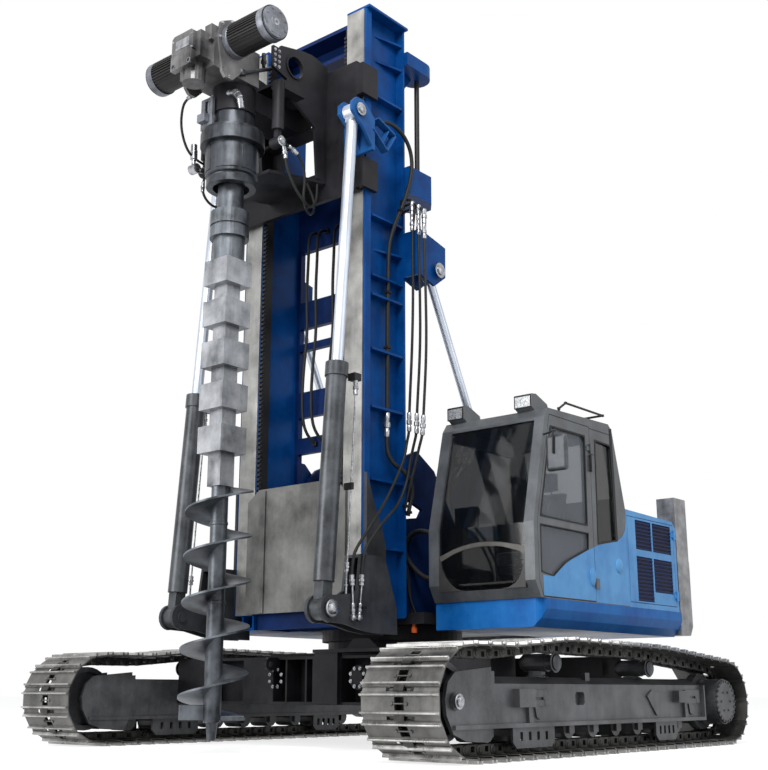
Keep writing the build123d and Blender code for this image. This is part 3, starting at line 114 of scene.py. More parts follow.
# %% [markdown]
# ## The studio
# A pale floor runs far past the machine under a white world. Light Path tells what is seen, which
# may be pure white, from the light that falls on the machine. The floor is a glow plus a matt
# share, so it reads white and still keeps the shadow.

# %% Floor and world
FLOOR_HALF, FLOOR_GLOW, FLOOR_MATT = 80, 0.76, 0.48


def light_mix(tree, seen, lit):
    """One closure for camera, glossy and transmission rays, and another for lighting."""
    path = add(tree, "ShaderNodeLightPath").outputs
    share = path["Is Camera Ray"]
    for ray in ("Is Glossy Ray", "Is Transmission Ray"):
        share = calc(tree, "MAXIMUM", share, path[ray])
    return add(tree, "ShaderNodeMixShader", {0: share, 1: lit, 2: seen}).outputs[0]


def sky(colour, strength):
    """One background closure of the world."""
    settings = {"Color": (*colour, 1), "Strength": strength}
    return add(world.node_tree, "ShaderNodeBackground", settings).outputs[0]


scene.view_settings.view_transform = "Standard"
world = bpy.data.worlds.new("studio")
scene.world = world
world.use_nodes = True
world.node_tree.nodes.clear()
both_skies = light_mix(world.node_tree, sky((1, 1, 1), 1.0), sky((0.95, 0.97, 1.0), 0.45))
add(world.node_tree, "ShaderNodeOutputWorld", {"Surface": both_skies})

floor_mesh = bpy.data.meshes.new("floor")
floor_corners = [(x * FLOOR_HALF, y * FLOOR_HALF, 0) for x, y in ((-1, -1), (1, -1), (1, 1), (-1, 1))]
floor_mesh.from_pydata(floor_corners, [], [(0, 1, 2, 3)])
shown("floor", floor_mesh)
pale, tree, shader = blank("pale_floor")
feed(tree, shader, {"Base Color": (0.5, 0.5, 0.5, 1), "Roughness": 0.9})
glow = add(tree, "ShaderNodeEmission", {"Strength": FLOOR_GLOW})
matt = add(tree, "ShaderNodeBsdfDiffuse", {"Color": (FLOOR_MATT, FLOOR_MATT, FLOOR_MATT, 1)})
seen_floor = add(tree, "ShaderNodeAddShader", {0: glow.outputs[0], 1: matt.outputs[0]})
both_floors = light_mix(tree, seen_floor.outputs[0], shader.outputs[0])
feed(tree, tree.nodes["Material Output"], {"Surface": both_floors})
floor_mesh.materials.append(pale)
print("floor of", 2 * FLOOR_HALF, "m under a white sky")

# %% [markdown]
# Three wide area lamps stand for soft boxes: the key lamp high at the front left, a cooler one on
# the left side, and one on the front for the auger and the mast.

# %% Lamps


def soft_box(name, place, aim, size, power, colour=(1, 1, 1)):
    """A square soft lamp at a place, turned towards its aim."""
    data = bpy.data.lights.new(name, "AREA")
    data.size, data.energy, data.color = size, power, colour
    lamp = shown(name, data)
    lamp.location = place
    lamp.rotation_euler = (Vector(aim) - Vector(place)).to_track_quat("-Z", "Y").to_euler()


soft_box("key_lamp", (9, 6, 12), (0, 0, 3), 6, 1500, (1.0, 0.99, 0.97))
soft_box("side_lamp", (-3, 14, 6), (-0.5, 0, 2), 7, 260, (0.93, 0.96, 1.0))
soft_box("front_lamp", (13, -3, 5), (1.5, 0, 3), 6, 850)
print("lamps:", len(bpy.data.lights))

# %% [markdown]
# The camera stands low and looks up along the left front corner. Its place and its three angles
# were fitted on corners whose real positions are known, such as the ends of the tracks.

# %% Camera
YAW, PITCH, ROLL = (math.radians(a) for a in (40.13, 14.617, 0.044))
CAMERA_PLACE = (8.784, 7.445, 0.5)
lens = bpy.data.cameras.new("photo_camera")
lens.sensor_fit, lens.sensor_width, lens.lens = "HORIZONTAL", 36, 54.91
lens.clip_start, lens.clip_end = 0.1, 300
flat = Vector((-math.cos(YAW), -math.sin(YAW), 0))
level = Vector((flat.y, -flat.x, 0))
look = flat * math.cos(PITCH) + Vector((0, 0, math.sin(PITCH)))
over = level.cross(look)
right = level * math.cos(ROLL) + over * math.sin(ROLL)
up = over * math.cos(ROLL) - level * math.sin(ROLL)
camera = shown("photo_camera", lens)
camera.matrix_world = Matrix.Translation(CAMERA_PLACE) @ Matrix((right, up, -look)).transposed().to_4x4()
scene.camera = camera
print("camera looks along", [round(v, 2) for v in look])

# %% [markdown]
# ## Finishes
# A painted or worn plate is never one flat colour. Three noises on Object coordinates, broad
# patches, streaks down the upright faces and fine grain, move each finish between a dark and a
# light tone and set its roughness. The grain also gives a shallow bump.

# %% A painter for paint, steel and rubber
paints = {}


def tone(red, green, blue):
    """A colour as the eye reads it, 0 to 255, in the linear values that a shader wants."""
    return tuple(((c / 255 + 0.055) / 1.055) ** 2.4 if c > 10 else c / 255 / 12.92 for c in (red, green, blue))


def noise(tree, scale, detail=4.0, rough=0.55, stretch=(1, 1, 1)):
    """Noise on Object coordinates."""
    coord = add(tree, "ShaderNodeTexCoord").outputs["Object"]
    spot = add(tree, "ShaderNodeMapping", {"Vector": coord, "Scale": stretch}).outputs["Vector"]
    grains = {"Vector": spot, "Scale": scale, "Detail": detail, "Roughness": rough}
    return add(tree, "ShaderNodeTexNoise", grains).outputs["Fac"]


def ramp(tree, fac, *stops):
    """A colour between two tones over a value; each stop is (place, tone)."""
    node = add(tree, "ShaderNodeValToRGB", {"Fac": fac})
    for element, (place, colour) in zip(node.color_ramp.elements, stops):
        element.position, element.color = place, (*tone(*colour), 1)
    return node.outputs["Color"]


def relief(tree, height, strength, depth):
    """A bump from a height."""
    bump = {"Height": height, "Strength": strength, "Distance": depth}
    return add(tree, "ShaderNodeBump", bump).outputs["Normal"]


def finish(name, dark, light, metal, rough, patch=3.0, grain=60.0, streak=0.25, speck=0.15,
           bump=0.15, coat=0.0, gloss=0.35):
    """A finish that wanders between a dark and a light tone, with its own roughness range."""
    paints[name], tree, shader = blank(name)
    fine = noise(tree, grain, 3.0, 0.6)
    runs = noise(tree, 14.0, 3.0, 0.6, (1, 1, 0.12))
    value = calc(tree, "MULTIPLY_ADD", runs, streak, noise(tree, patch, 6.0, 0.62))
    value = calc(tree, "MULTIPLY_ADD", fine, speck, value)
    middle = 0.5 * (1 + streak + speck)
    spread = {"Value": value, "From Min": middle - 0.25, "From Max": middle + 0.25,
              "To Min": rough[0], "To Max": rough[1]}
    feed(tree, shader, {
        "Base Color": ramp(tree, value, (middle - 0.2, dark), (middle + 0.2, light)),
        "Roughness": add(tree, "ShaderNodeMapRange", spread).outputs["Result"],
        "Normal": relief(tree, fine, bump, 0.0008), "Metallic": metal, "Specular IOR Level": gloss,
        "Coat Weight": coat, "Coat Roughness": 0.12,
    })


# %% The machine's paints and metals
finish("track_steel", (58, 57, 56), (124, 123, 121), 0.55, (0.30, 0.52), patch=2.5, grain=90, speck=0.06)
finish("bar_steel", (112, 111, 109), (196, 195, 193), 0.7, (0.2, 0.4), patch=4, grain=120)
finish("chain_steel", (34, 34, 33), (84, 83, 81), 0.8, (0.35, 0.55), patch=8, grain=90)
finish("frame_grey", (58, 59, 61), (112, 113, 116), 0.35, (0.32, 0.52), patch=2.2)
finish("dark_grey", (18, 18, 21), (42, 42, 47), 0.1, (0.38, 0.58), gloss=0.2)
finish("royal_blue", (0, 50, 108), (8, 74, 142), 0.0, (0.3, 0.45), speck=0.1, gloss=0.12)
# painted shade: a darker copy of royal_blue for the mast's support and cross frame, which lie in shade
finish("blue_in_painted_shade", (6, 26, 68), (18, 46, 98), 0.0, (0.35, 0.5), speck=0.1, gloss=0.12)
finish("bracket_blue", (16, 66, 126), (40, 98, 160), 0.0, (0.3, 0.45), speck=0.1, gloss=0.15)
finish("skirt_blue", (8, 84, 160), (34, 114, 188), 0.0, (0.28, 0.42), speck=0.1, gloss=0.12)
finish("light_blue", (62, 132, 196), (96, 162, 218), 0.0, (0.28, 0.42), speck=0.1, coat=0.1, gloss=0.2)
# painted shade: a grey darker than the cab's, for the windscreen's lower corners, because the cab's front lies
# in shade
finish("grey_in_painted_shade", (46, 45, 45), (66, 65, 65), 0.2, (0.35, 0.5))
finish("lamp_lens", (104, 106, 109), (206, 208, 210), 0.3, (0.2, 0.4), patch=70, grain=240, streak=0.05,
       speck=0.5)
finish("cab_grey", (72, 74, 77), (104, 108, 112), 0.2, (0.3, 0.45), coat=0.1)
finish("weight_grey", (100, 100, 103), (170, 170, 172), 0.4, (0.35, 0.55), patch=6, grain=120)
finish("bare_steel", (112, 112, 110), (182, 181, 178), 0.6, (0.32, 0.55), patch=2.5, grain=110, speck=0.05)
finish("plate_steel", (62, 62, 62), (134, 134, 132), 0.6, (0.3, 0.55), patch=1.6, grain=110, streak=0.15,
       speck=0.05)
finish("drill_steel", (84, 87, 91), (174, 176, 180), 0.8, (0.3, 0.5), patch=3, grain=110, speck=0.05)
finish("auger_steel", (46, 49, 53), (116, 121, 128), 0.75, (0.3, 0.52), patch=3.5, grain=110, speck=0.05)
finish("head_bronze", (30, 27, 25), (86, 78, 70), 0.55, (0.35, 0.55), patch=7, grain=100)
finish("head_light", (58, 58, 60), (138, 137, 138), 0.7, (0.3, 0.5), patch=2.5, grain=100, streak=0.3,
       speck=0.05)
finish("spindle_steel", (24, 26, 29), (84, 88, 94), 0.7, (0.28, 0.45), patch=3, grain=110, streak=0.5,
       speck=0.05)
finish("motor_grey", (78, 81, 88), (136, 139, 147), 0.5, (0.32, 0.48), patch=8, grain=110)
finish("fin_black", (14, 14, 15), (44, 42, 42), 0.3, (0.35, 0.5), gloss=0.3)
finish("cylinder_grey", (46, 48, 51), (86, 89, 93), 0.6, (0.3, 0.45), patch=5)
finish("chrome", (178, 186, 198), (208, 215, 226), 0.7, (0.28, 0.4), patch=1.5, streak=0.05, speck=0.05,
       bump=0.02)
finish("silver", (112, 114, 118), (188, 190, 194), 0.9, (0.2, 0.35), patch=20, grain=150)
finish("foot_grey", (38, 39, 42), (66, 68, 72), 0.2, (0.38, 0.58), gloss=0.25)
finish("screen_bar", (66, 64, 62), (98, 95, 91), 0.2, (0.3, 0.45))
finish("louvre_navy", (4, 14, 50), (14, 30, 78), 0.0, (0.4, 0.55), gloss=0.1)
finish("black_steel", (16, 16, 17), (34, 34, 35), 0.1, (0.4, 0.6))
finish("hose_rubber", (16, 17, 17), (36, 38, 37), 0.0, (0.45, 0.65), gloss=0.25, patch=12, grain=200)
finish("seal_rubber", (12, 12, 13), (24, 24, 25), 0.0, (0.5, 0.7), grain=200)
finish("marker_orange", (196, 78, 20), (228, 108, 40), 0.0, (0.3, 0.45), patch=20)
print("finishes:", len(paints))

# %% [markdown]
# The seat's cloth gets two crossed waves as its threads. The glass is tinted and lets the cab's inside show
# through. The door's pane is paler and bluer than the rest of the glass, as a painted reflection.

# %% Cloth and glass
THREADS = 160


def woven_cloth(name, dark, light):
    """A plain weave: two crossed waves raise the threads, and a soft noise wears them."""
    paints[name], tree, shader = blank(name)
    coord = add(tree, "ShaderNodeTexCoord").outputs["Object"]
    wave = {"Vector": coord, "Scale": THREADS, "Distortion": 0.4}
    sides = [add(tree, "ShaderNodeTexWave", wave, bands_direction=way).outputs["Fac"] for way in ("X", "Y")]
    weave = calc(tree, "MULTIPLY", *sides)
    worn = calc(tree, "MULTIPLY_ADD", noise(tree, 9.0), 0.8, weave)
    feed(tree, shader, {
        "Base Color": ramp(tree, worn, (0.35, dark), (1.0, light)), "Roughness": 0.85,
        "Sheen Weight": 0.3, "Normal": relief(tree, weave, 0.5, 0.001),
    })


def clear_pane(name, colour, alpha):
    """Tinted glass with faint smears in its gloss."""
    paints[name], tree, shader = blank(name)
    smear = {"Value": noise(tree, 2.5, 5.0, 0.6, (1, 1, 0.4)), "To Min": 0.02, "To Max": 0.07}
    feed(tree, shader, {
        "Base Color": (*tone(*colour), 1), "Alpha": alpha, "Specular IOR Level": 0.6,
        "Roughness": add(tree, "ShaderNodeMapRange", smear).outputs["Result"],
    })


woven_cloth("seat_cloth", (44, 44, 48), (84, 84, 90))
clear_pane("cab_glass", (12, 15, 18), 0.55)
# painted reflection: the door's glass is a paler, bluish copy of the cab glass
clear_pane("door_pane_painted_reflection", (128, 136, 146), 0.32)
print("cloth and panes make", len(paints))

# %% [markdown]
# ## Dressing the frame
# Every node of the frame names a material slot. Most take the finish of their slot; a few are listed one by
# one, because the same slot looks different on them. The mast's support and cross frame take a darker blue as
# painted shade, and the door's glass takes a paler pane as a painted reflection.

# %% Dress the frame's pieces
SLOT_FINISH = {"head_grey": "head_bronze", "glass": "cab_glass"}
OWN_FINISH = {
    "drill_string": "drill_steel", "drill_shaft": "auger_steel", "auger": "auger_steel",
    "gearbox": "head_light", "motors": "seal_rubber", "front_plate": "plate_steel",
    "skirt": "skirt_blue", "right_tank": "skirt_blue", "mast_cross_frame": "blue_in_painted_shade",
    # the darker blue of the mast's support and cross frame is painted shade
    "mast_support": "blue_in_painted_shade", "rod_brackets": "bracket_blue", "foot_plates": "foot_grey",
    # the door's glass takes the paler pane, a painted reflection
    "door_glass": "door_pane_painted_reflection",
}
for part in frame["record"]["subparts"]:
    node, slot = part["node"], part["material_slot"]
    mesh = frame["nodes"][node].data
    mesh.materials.clear()
    mesh.materials.append(paints[OWN_FINISH.get(node, SLOT_FINISH.get(slot, slot))])

# %% [markdown]
# ## Tools for the added pieces
# A piece is drawn in machine millimetres with shapes that a workshop knows: a sawn block, a cut
# plate, a round rod and a turned part. All are a skin over rings of points. `piece` takes a list
# of shapes, each a tool with its sizes, and gives them a finish and a body.

# %% Shapes


def skin(bm, rings, closed=False):
    """Faces from ring to ring; open ends get a cap, and a last ring of one point is a tip."""
    made = [[bm.verts.new(p) for p in ring] for ring in rings]
    for one, two in zip(made, made[1:] + (made[:1] if closed else [])):
        for i, corner in enumerate(one):
            j = (i + 1) % len(one)
            bm.faces.new([corner, one[j], *((two[j], two[i]) if len(two) > 1 else two)])
    if not closed:
        for cap in (made[0], made[-1]):
            if len(cap) > 1:
                bm.faces.new(cap)


def circle(one, two, count):
    """Evenly spaced directions round a circle in the plane of two unit vectors."""
    angles = [2 * math.pi * i / count for i in range(count)]
    return [one * math.cos(a) + two * math.sin(a) for a in angles]


def plate(bm, outline, y0, y1):
    """A plate of an outline in X, Z between two Y levels."""
    skin(bm, [[(x, y, z) for x, z in outline] for y in (y0, y1)])


def plate_across(bm, outline, x0, x1):
    """A plate of an outline in Y, Z between two X levels."""
    skin(bm, [[(x, y, z) for y, z in outline] for x in (x0, x1)])


def block(bm, low, high):
    """A sawn block between two opposite corners."""
    (x0, y0, z0), (x1, y1, z1) = low, high
    plate(bm, [(x0, z0), (x1, z0), (x1, z1), (x0, z1)], y0, y1)


def turned(bm, p, q, profile, sides=24):
    """A part turned about the line from p towards q; the profile is (distance, radius)."""
    axis = (Vector(q) - Vector(p)).normalized()
    side = axis.orthogonal().normalized()
    other = axis.cross(side)
    skin(bm, [[Vector(p) + axis * along + way * radius for way in circle(side, other, sides)]
              for along, radius in profile])


def rod(bm, p, q, r, sides=12):
    """A round rod between two points."""
    turned(bm, p, q, [(0, r), (math.dist(p, q), r)], sides)


print("workshop ready")

# %% From shapes to a piece


def mesh_of(name, shapes, place=at):
    """The mesh of a list of (tool, sizes...), its points put in place and its faces outwards."""
    bm = bmesh.new()
    for tool, *sizes in shapes:
        tool(bm, *sizes)
    for vert in bm.verts:
        vert.co = place(*vert.co)
    bmesh.ops.recalc_face_normals(bm, faces=bm.faces)
    mesh = bpy.data.meshes.new(name)
    bm.to_mesh(mesh)
    bm.free()
    return mesh


def carried(obj, body, smooth=None):
    """Ends an object: smooth faces up to an angle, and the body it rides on."""
    if smooth:
        obj.data.shade_smooth()
        obj.data.set_sharp_from_angle(angle=math.radians(smooth))
    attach(obj, body)
    return obj


def piece(name, shapes, paint, body, bevel=0.0, smooth=None):
    """One piece from its shapes, with its finish, worn edges and body."""
    obj = shown(name, mesh_of(name, shapes))
    obj.data.materials.append(paints[paint])
    if bevel:
        edge = obj.modifiers.new("edges", "BEVEL")
        edge.width, edge.segments, edge.limit_method = bevel / 1000, 2, "ANGLE"
    return carried(obj, body, smooth)


print("pieces can be made")

# %% [markdown]
# ## Geometry Nodes: one item on many points
# Shoes, links, bolts and fins repeat many times. A carrier mesh holds a point for each copy and
# its attribute "turn", and the tree sets the item there. Realize Instances makes real faces,
# because a stored model has no instances.

# %% The tree that sets an item on points


def new_tree(name, *inputs):
    """An empty tree with named inputs; returns it with the sockets that carry them."""
    tree = bpy.data.node_groups.new(name, "GeometryNodeTree")
    for label, kind in (("Points", "Geometry"), *inputs, ("Finish", "Material")):
        tree.interface.new_socket(label, in_out="INPUT", socket_type="NodeSocket" + kind)
    tree.interface.new_socket("Result", in_out="OUTPUT", socket_type="NodeSocketGeometry")
    return tree, tree.nodes.new("NodeGroupInput").outputs


def end_tree(tree, start, geometry):
    """Real faces and the finish come last in every tree."""
    real = add(tree, "GeometryNodeRealizeInstances", {"Geometry": geometry})
    coat = {"Geometry": real.outputs["Geometry"], "Material": start["Finish"]}
    add(tree, "NodeGroupOutput", {"Result": add(tree, "GeometryNodeSetMaterial", coat).outputs["Geometry"]})
    return tree


def end_with_copies(tree, start, points, item, turn):
    """A turned copy of an item on every point, and the end of the tree."""
    spin = add(tree, "FunctionNodeEulerToRotation", {"Euler": turn}).outputs["Rotation"]
    copies = {"Points": points, "Instance": item, "Rotation": spin}
    return end_tree(tree, start, add(tree, "GeometryNodeInstanceOnPoints", copies).outputs["Instances"])


def items_tree():
    """An item's mesh on every point of the carrier."""
    tree, start = new_tree("items_on_points", ("Item", "Object"))
    item = add(tree, "GeometryNodeObjectInfo", {"Object": start["Item"]})
    turn = add(tree, "GeometryNodeInputNamedAttribute", {"Name": "turn"}, data_type="FLOAT_VECTOR")
    return end_with_copies(tree, start, start["Points"], item.outputs["Geometry"], turn.outputs["Attribute"])


ITEMS = items_tree()
print("tree", ITEMS.name, "has", len(ITEMS.nodes), "nodes")

# %% Growing a tree into a plain mesh


def grow(name, tree, values, paint, body, smooth=None, carrier=None):
    """Runs a tree on a carrier mesh and keeps the result as a plain mesh on a body."""
    obj = shown(name, carrier or bpy.data.meshes.new(name + "_start"))
    mod = obj.modifiers.new("grow", "NODES")
    mod.node_group = tree
    values["Finish"] = paints[paint]
    for socket in tree.interface.items_tree:
        if socket.in_out == "INPUT" and socket.name in values:
            mod[socket.identifier] = values[socket.name]
    grown = obj.evaluated_get(bpy.context.evaluated_depsgraph_get())
    mesh = bpy.data.meshes.new_from_object(grown)
    obj.modifiers.remove(mod)
    obj.data = mesh
    mesh.name = name
    return carried(obj, body, smooth)


def small(x, y, z):
    """An item's point, in metres about its own origin."""
    return Vector((x, y, z)) / 1000


def set_out(name, shapes, spots, paint, body, smooth=None):
    """One piece from an item's shapes, repeated on spots that are (place, turn)."""
    item = shown(name + "_item", mesh_of(name + "_item", shapes, small))
    carrier = bpy.data.meshes.new(name + "_points")
    carrier.from_pydata([at(*place) for place, turn in spots], [], [])
    turns = carrier.attributes.new("turn", "FLOAT_VECTOR", "POINT")
    for entry, (place, turn) in zip(turns.data, spots):
        entry.vector = turn.to_euler()
    obj = grow(name, ITEMS, {"Item": item}, paint, body, smooth, carrier)
    bpy.data.objects.remove(item)
    return obj


print("growing ready")

# %% [markdown]
# ## The tracks
# A track is a chain of links, each with a steel shoe and two raised bars that bite the ground. It
# runs round the sprocket at the rear and the idler in front, hangs a little above and lies flat
# below. The pins stand at even distances along that line, and the tree sets one shoe, one pair of
# bars and one link between every two of them.

# %% The line of the chain and its pins
TRACK_Y, TRACK_REAR_X = 2100, -2585
SHOE_PITCH, SHOE_HALF, PIN_DEPTH = 175, 350, 80
IDLER_X, IDLER_Z, IDLER_PIN_R = 2067, 425, 345
SPROCKET_Z, SPROCKET_PIN_R = 400, 320
SPROCKET_X = TRACK_REAR_X + SPROCKET_PIN_R * math.cos(SHOE_PITCH / 2 / SPROCKET_PIN_R) + PIN_DEPTH
FIRST_PIN = 0.91  # of a pitch, as the photo shows the shoes on the idler
UPPER_RUN = [(1480, 771), (697, 842), (-100, 828), (-863, 819)]


def arc(x, z, r, start, stop, steps):
    """Points on an arc in X, Z, angles in degrees from +X towards +Z."""
    angles = [math.radians(start + (stop - start) * i / steps) for i in range(steps + 1)]
    return [(x + r * math.cos(a), z + r * math.sin(a)) for a in angles]


def chain_pins():
    """The chain's pins at even distances along their line."""
    line = (arc(SPROCKET_X, SPROCKET_Z, SPROCKET_PIN_R, 180, 270, 30)
            + arc(IDLER_X, IDLER_Z, IDLER_PIN_R, -90, 90, 60)
            + UPPER_RUN + arc(SPROCKET_X, SPROCKET_Z, SPROCKET_PIN_R, 90, 180, 30))
    spans = [math.dist(a, b) for a, b in zip(line, line[1:])]
    count = round(sum(spans) / SHOE_PITCH)
    pitch = sum(spans) / count
    pins, passed = [], 0
    for a, b, span in zip(line, line[1:], spans):
        while len(pins) < count and (len(pins) + FIRST_PIN) * pitch <= passed + span:
            share = ((len(pins) + FIRST_PIN) * pitch - passed) / span
            pins.append((a[0] + (b[0] - a[0]) * share, a[1] + (b[1] - a[1]) * share))
        passed += span
    return pins


PINS = chain_pins()


def link_spots(side):
    """Place and turn of every link: its X runs along the chain and its Z points outwards."""
    spots = []
    for (x0, z0), (x1, z1) in zip(PINS, PINS[1:] + PINS[:1]):
        span = math.dist((x0, z0), (x1, z1))
        dx, dz = (x1 - x0) / span, (z1 - z0) / span
        turn = Matrix(((dx, 0, dz), (0, -1, 0), (dz, 0, -dx))).transposed()
        spots.append((((x0 + x1) / 2, side * TRACK_Y, (z0 + z1) / 2), turn))
    return spots


print("pins:", len(PINS), "first at", [round(v) for v in PINS[0]])

# %% [markdown]
# A shoe is a plate with a window where mud falls through, two bolts, a thin rod, and a lip that
# closes the gap to the next shoe where the chain bends. The bars are apart, because the ground
# polishes their tips. The link has two rails with round eyes.

# %% One shoe, one pair of bars, one link
PLATE_LOW, PLATE_HIGH, WINDOW_HALF = 43, 55, 43
SHOE = [(block, (x0, y0, PLATE_LOW), (x1, y1, PLATE_HIGH)) for x0, x1, y0, y1 in (
    (-83, -46, -SHOE_HALF, SHOE_HALF), (46, 83, -SHOE_HALF, SHOE_HALF),
    (-46, 46, -SHOE_HALF, -WINDOW_HALF), (-46, 46, WINDOW_HALF, SHOE_HALF))]
SHOE += [(turned, (0, y, PLATE_HIGH - 1), (0, y, 90), [(0, 15), (9, 15), (11, 11)], 6) for y in (-66, 66)]
SHOE += [(rod, (0, -60, PLATE_HIGH - 3), (0, 60, PLATE_HIGH - 3), 6, 8)]
SHOE += [(plate, [(80, 40), (80, 50), (98, 42), (116, 34), (114, 28), (96, 34)], y0, y1)
         for y0, y1 in ((-SHOE_HALF + 6, -125), (125, SHOE_HALF - 6))]
BAR_PROFILE = [(-11, 54), (-7, 77), (-4, 80), (4, 80), (7, 77), (11, 54)]
BARS = [(plate, [(x + dx, z) for dx, z in BAR_PROFILE], -SHOE_HALF, SHOE_HALF) for x in (-62, 62)]
LINK = [(block, (x0, y - 16, z0), (x1, y + 16, z1)) for y in (-78, 78)
        for x0, x1, z0, z1 in ((-70, 70, 15, 43), (-70, 70, -38, -25), (-70, -22, -25, 15), (22, 70, -25, 15))]
LINK += [(turned, (-87, y, 0), (-87, y + 42, 0), [(0, 34), (3, 40), (39, 40), (42, 34)], 16)
         for y in (-100, 58)]
LINK += [(rod, (-87, -104, 0), (-87, 104, 0), 19), (block, (-117, -45, 34), (-57, 45, 60))]

# %% Set out both tracks
for side, word in SIDES:
    made = [set_out(f"track_{word}_{kind}", shapes, link_spots(side), paint, "chassis", smooth)
            for kind, shapes, paint, smooth in (("shoes", SHOE, "track_steel", None),
                                                ("bars", BARS, "bar_steel", None),
                                                ("links", LINK, "chain_steel", 40))]
    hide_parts(f"track_{word}")
    print(word, "track:", [len(obj.data.polygons) for obj in made], "faces")

# %% [markdown]
# ## The screw auger
# One steel flight is wound right-handed round a tube: its height grows evenly with the angle. The
# tree bends a flat grid by that rule, extrudes it for the plate's thickness, and closes it with
# the turned-over grid below.

# %% The tree of a screw flight


def flight_tree():
    """A helical plate between two radii, about an upright axis."""
    tree, start = new_tree("screw_flight", *((name, "Float") for name in (
        "Inner Radius", "Outer Radius", "Pitch", "Turns", "First Turn", "Thickness")),
        ("Steps", "Int"), ("Axis", "Vector"))
    strip = {"Size X": 1, "Size Y": 1, "Vertices X": 6, "Vertices Y": start["Steps"]}
    flat_strip = add(tree, "GeometryNodeMeshGrid", strip).outputs["Mesh"]
    spot = add(tree, "GeometryNodeInputPosition").outputs[0]
    split = add(tree, "ShaderNodeSeparateXYZ", {0: spot}).outputs
    across = calc(tree, "ADD", split["X"], 0.5)
    along = calc(tree, "ADD", split["Y"], 0.5)
    along = calc(tree, "MULTIPLY_ADD", along, start["Turns"], start["First Turn"])
    width = calc(tree, "SUBTRACT", start["Outer Radius"], start["Inner Radius"])
    radius = calc(tree, "MULTIPLY_ADD", across, width, start["Inner Radius"])
    angle = calc(tree, "MULTIPLY", along, 2 * math.pi)
    bent = add(tree, "ShaderNodeCombineXYZ", {
        "X": calc(tree, "MULTIPLY", radius, calc(tree, "COSINE", angle)),
        "Y": calc(tree, "MULTIPLY", radius, calc(tree, "SINE", angle)),
        "Z": calc(tree, "MULTIPLY", along, start["Pitch"]),
    })
    moved = add(tree, "ShaderNodeVectorMath", {0: bent.outputs[0], 1: start["Axis"]}).outputs[0]
    wound = add(tree, "GeometryNodeSetPosition", {"Geometry": flat_strip, "Position": moved})
    wound = wound.outputs["Geometry"]
    rise = add(tree, "ShaderNodeCombineXYZ", {"Z": start["Thickness"]}).outputs[0]
    upper = add(tree, "GeometryNodeExtrudeMesh", {"Mesh": wound, "Offset": rise, "Individual": False})
    under = add(tree, "GeometryNodeFlipFaces", {"Mesh": wound})
    closed = add(tree, "GeometryNodeJoinGeometry")
    for half in (upper, under):
        tree.links.new(half.outputs["Mesh"], closed.inputs[0])
    merged = add(tree, "GeometryNodeMergeByDistance", {"Geometry": closed.outputs[0], "Distance": 0.00002})
    return end_tree(tree, start, merged.outputs["Geometry"])


# %% Wind the flight and turn the tube
AXIS_X, TUBE_R, FLIGHT_R = 2295, 73, 286
FLIGHT_BOTTOM, FLIGHT_PITCH, FLIGHT_TURNS, FLIGHT_FIRST, FLIGHT_THICK = 480, 379, 5.05, -0.57, 16
STEPS_PER_TURN = 64
flight = grow("auger_flight", flight_tree(), {
    "Inner Radius": (TUBE_R - 4) / 1000, "Outer Radius": FLIGHT_R / 1000, "Pitch": FLIGHT_PITCH / 1000,
    "Turns": FLIGHT_TURNS, "First Turn": FLIGHT_FIRST, "Thickness": FLIGHT_THICK / 1000,
    "Steps": round(FLIGHT_TURNS * STEPS_PER_TURN) + 1, "Axis": at(AXIS_X, 0, FLIGHT_BOTTOM),
}, "auger_steel", "drill", 40)
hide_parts("auger")
TUBE_LINE = [(0, 30), (6, 36), (120, 46), (136, 48), (140, TUBE_R), (2072, TUBE_R)]
COLLAR_LINE = [(0, TUBE_R), (4, TUBE_R + 5), (26, TUBE_R + 5), (30, TUBE_R)]
piece("auger_tube", [(turned, (AXIS_X, 0, z), (AXIS_X, 0, 3000), line, 48) for z, line in (
    (107, TUBE_LINE), (1190, COLLAR_LINE), (1850, COLLAR_LINE))], "auger_steel", "drill",
      smooth=35)

# %% Cutters at the flight's lower end


def cutter(bm, angle, reach, low, high, half=18):
    """An upright bar that points away from the axis at an angle in degrees."""
    out = Vector((math.cos(math.radians(angle)), math.sin(math.radians(angle)), 0))
    across = out.cross(Vector((0, 0, 1))) * half
    corners = [(across, low), (-across, low), (-across, high), (across, high)]
    skin(bm, [[Vector((AXIS_X, 0, z)) + out * r + side for side, z in corners] for r in (TUBE_R - 8, reach)])


piece("auger_cutters", [(cutter, -45, 268, 266, 386), (cutter, 135, 262, 262, 300)], "auger_steel", "drill",
      bevel=4)
print("flight:", len(flight.data.polygons), "faces, height", round(FLIGHT_PITCH * FLIGHT_TURNS), "mm")

# %% [markdown]
# ## Teeth and slats: blocks in a row
# The carriage climbs on two toothed racks, and the hood's side door has four fields of slats over a black sheet
# of painted shade.
# Both are equal blocks at an even pitch, so one tree serves: a mesh line counts the points, and
# each block can be tipped about its long side.

# %% The tree of a row, the racks and the louvres


def row_tree():
    """A row of equal blocks going up from a foot."""
    tree, start = new_tree("blocks_in_a_row", ("Foot", "Vector"), ("Block Size", "Vector"), ("Pitch", "Float"),
                           ("Count", "Int"), ("Tip", "Float"))
    step = add(tree, "ShaderNodeCombineXYZ", {"Z": start["Pitch"]}).outputs[0]
    line = {"Count": start["Count"], "Start Location": start["Foot"], "Offset": step}
    points = add(tree, "GeometryNodeMeshLine", line).outputs["Mesh"]
    unit = add(tree, "GeometryNodeMeshCube", {"Size": start["Block Size"]}).outputs["Mesh"]
    lean = add(tree, "ShaderNodeCombineXYZ", {"X": start["Tip"]}).outputs[0]
    return end_with_copies(tree, start, points, unit, lean)


ROW = row_tree()
RACK_PITCH, RACK_COUNT, RACK_Y = 44, 124, 532
for side, word in SIDES:
    sizes = {"Foot": at(1334, side * RACK_Y, 1290), "Block Size": (0.026, 0.034, 0.024),
             "Pitch": RACK_PITCH / 1000, "Count": RACK_COUNT, "Tip": 0.0}
    grow(f"rack_teeth_{word}", ROW, sizes, "black_steel", "mast")

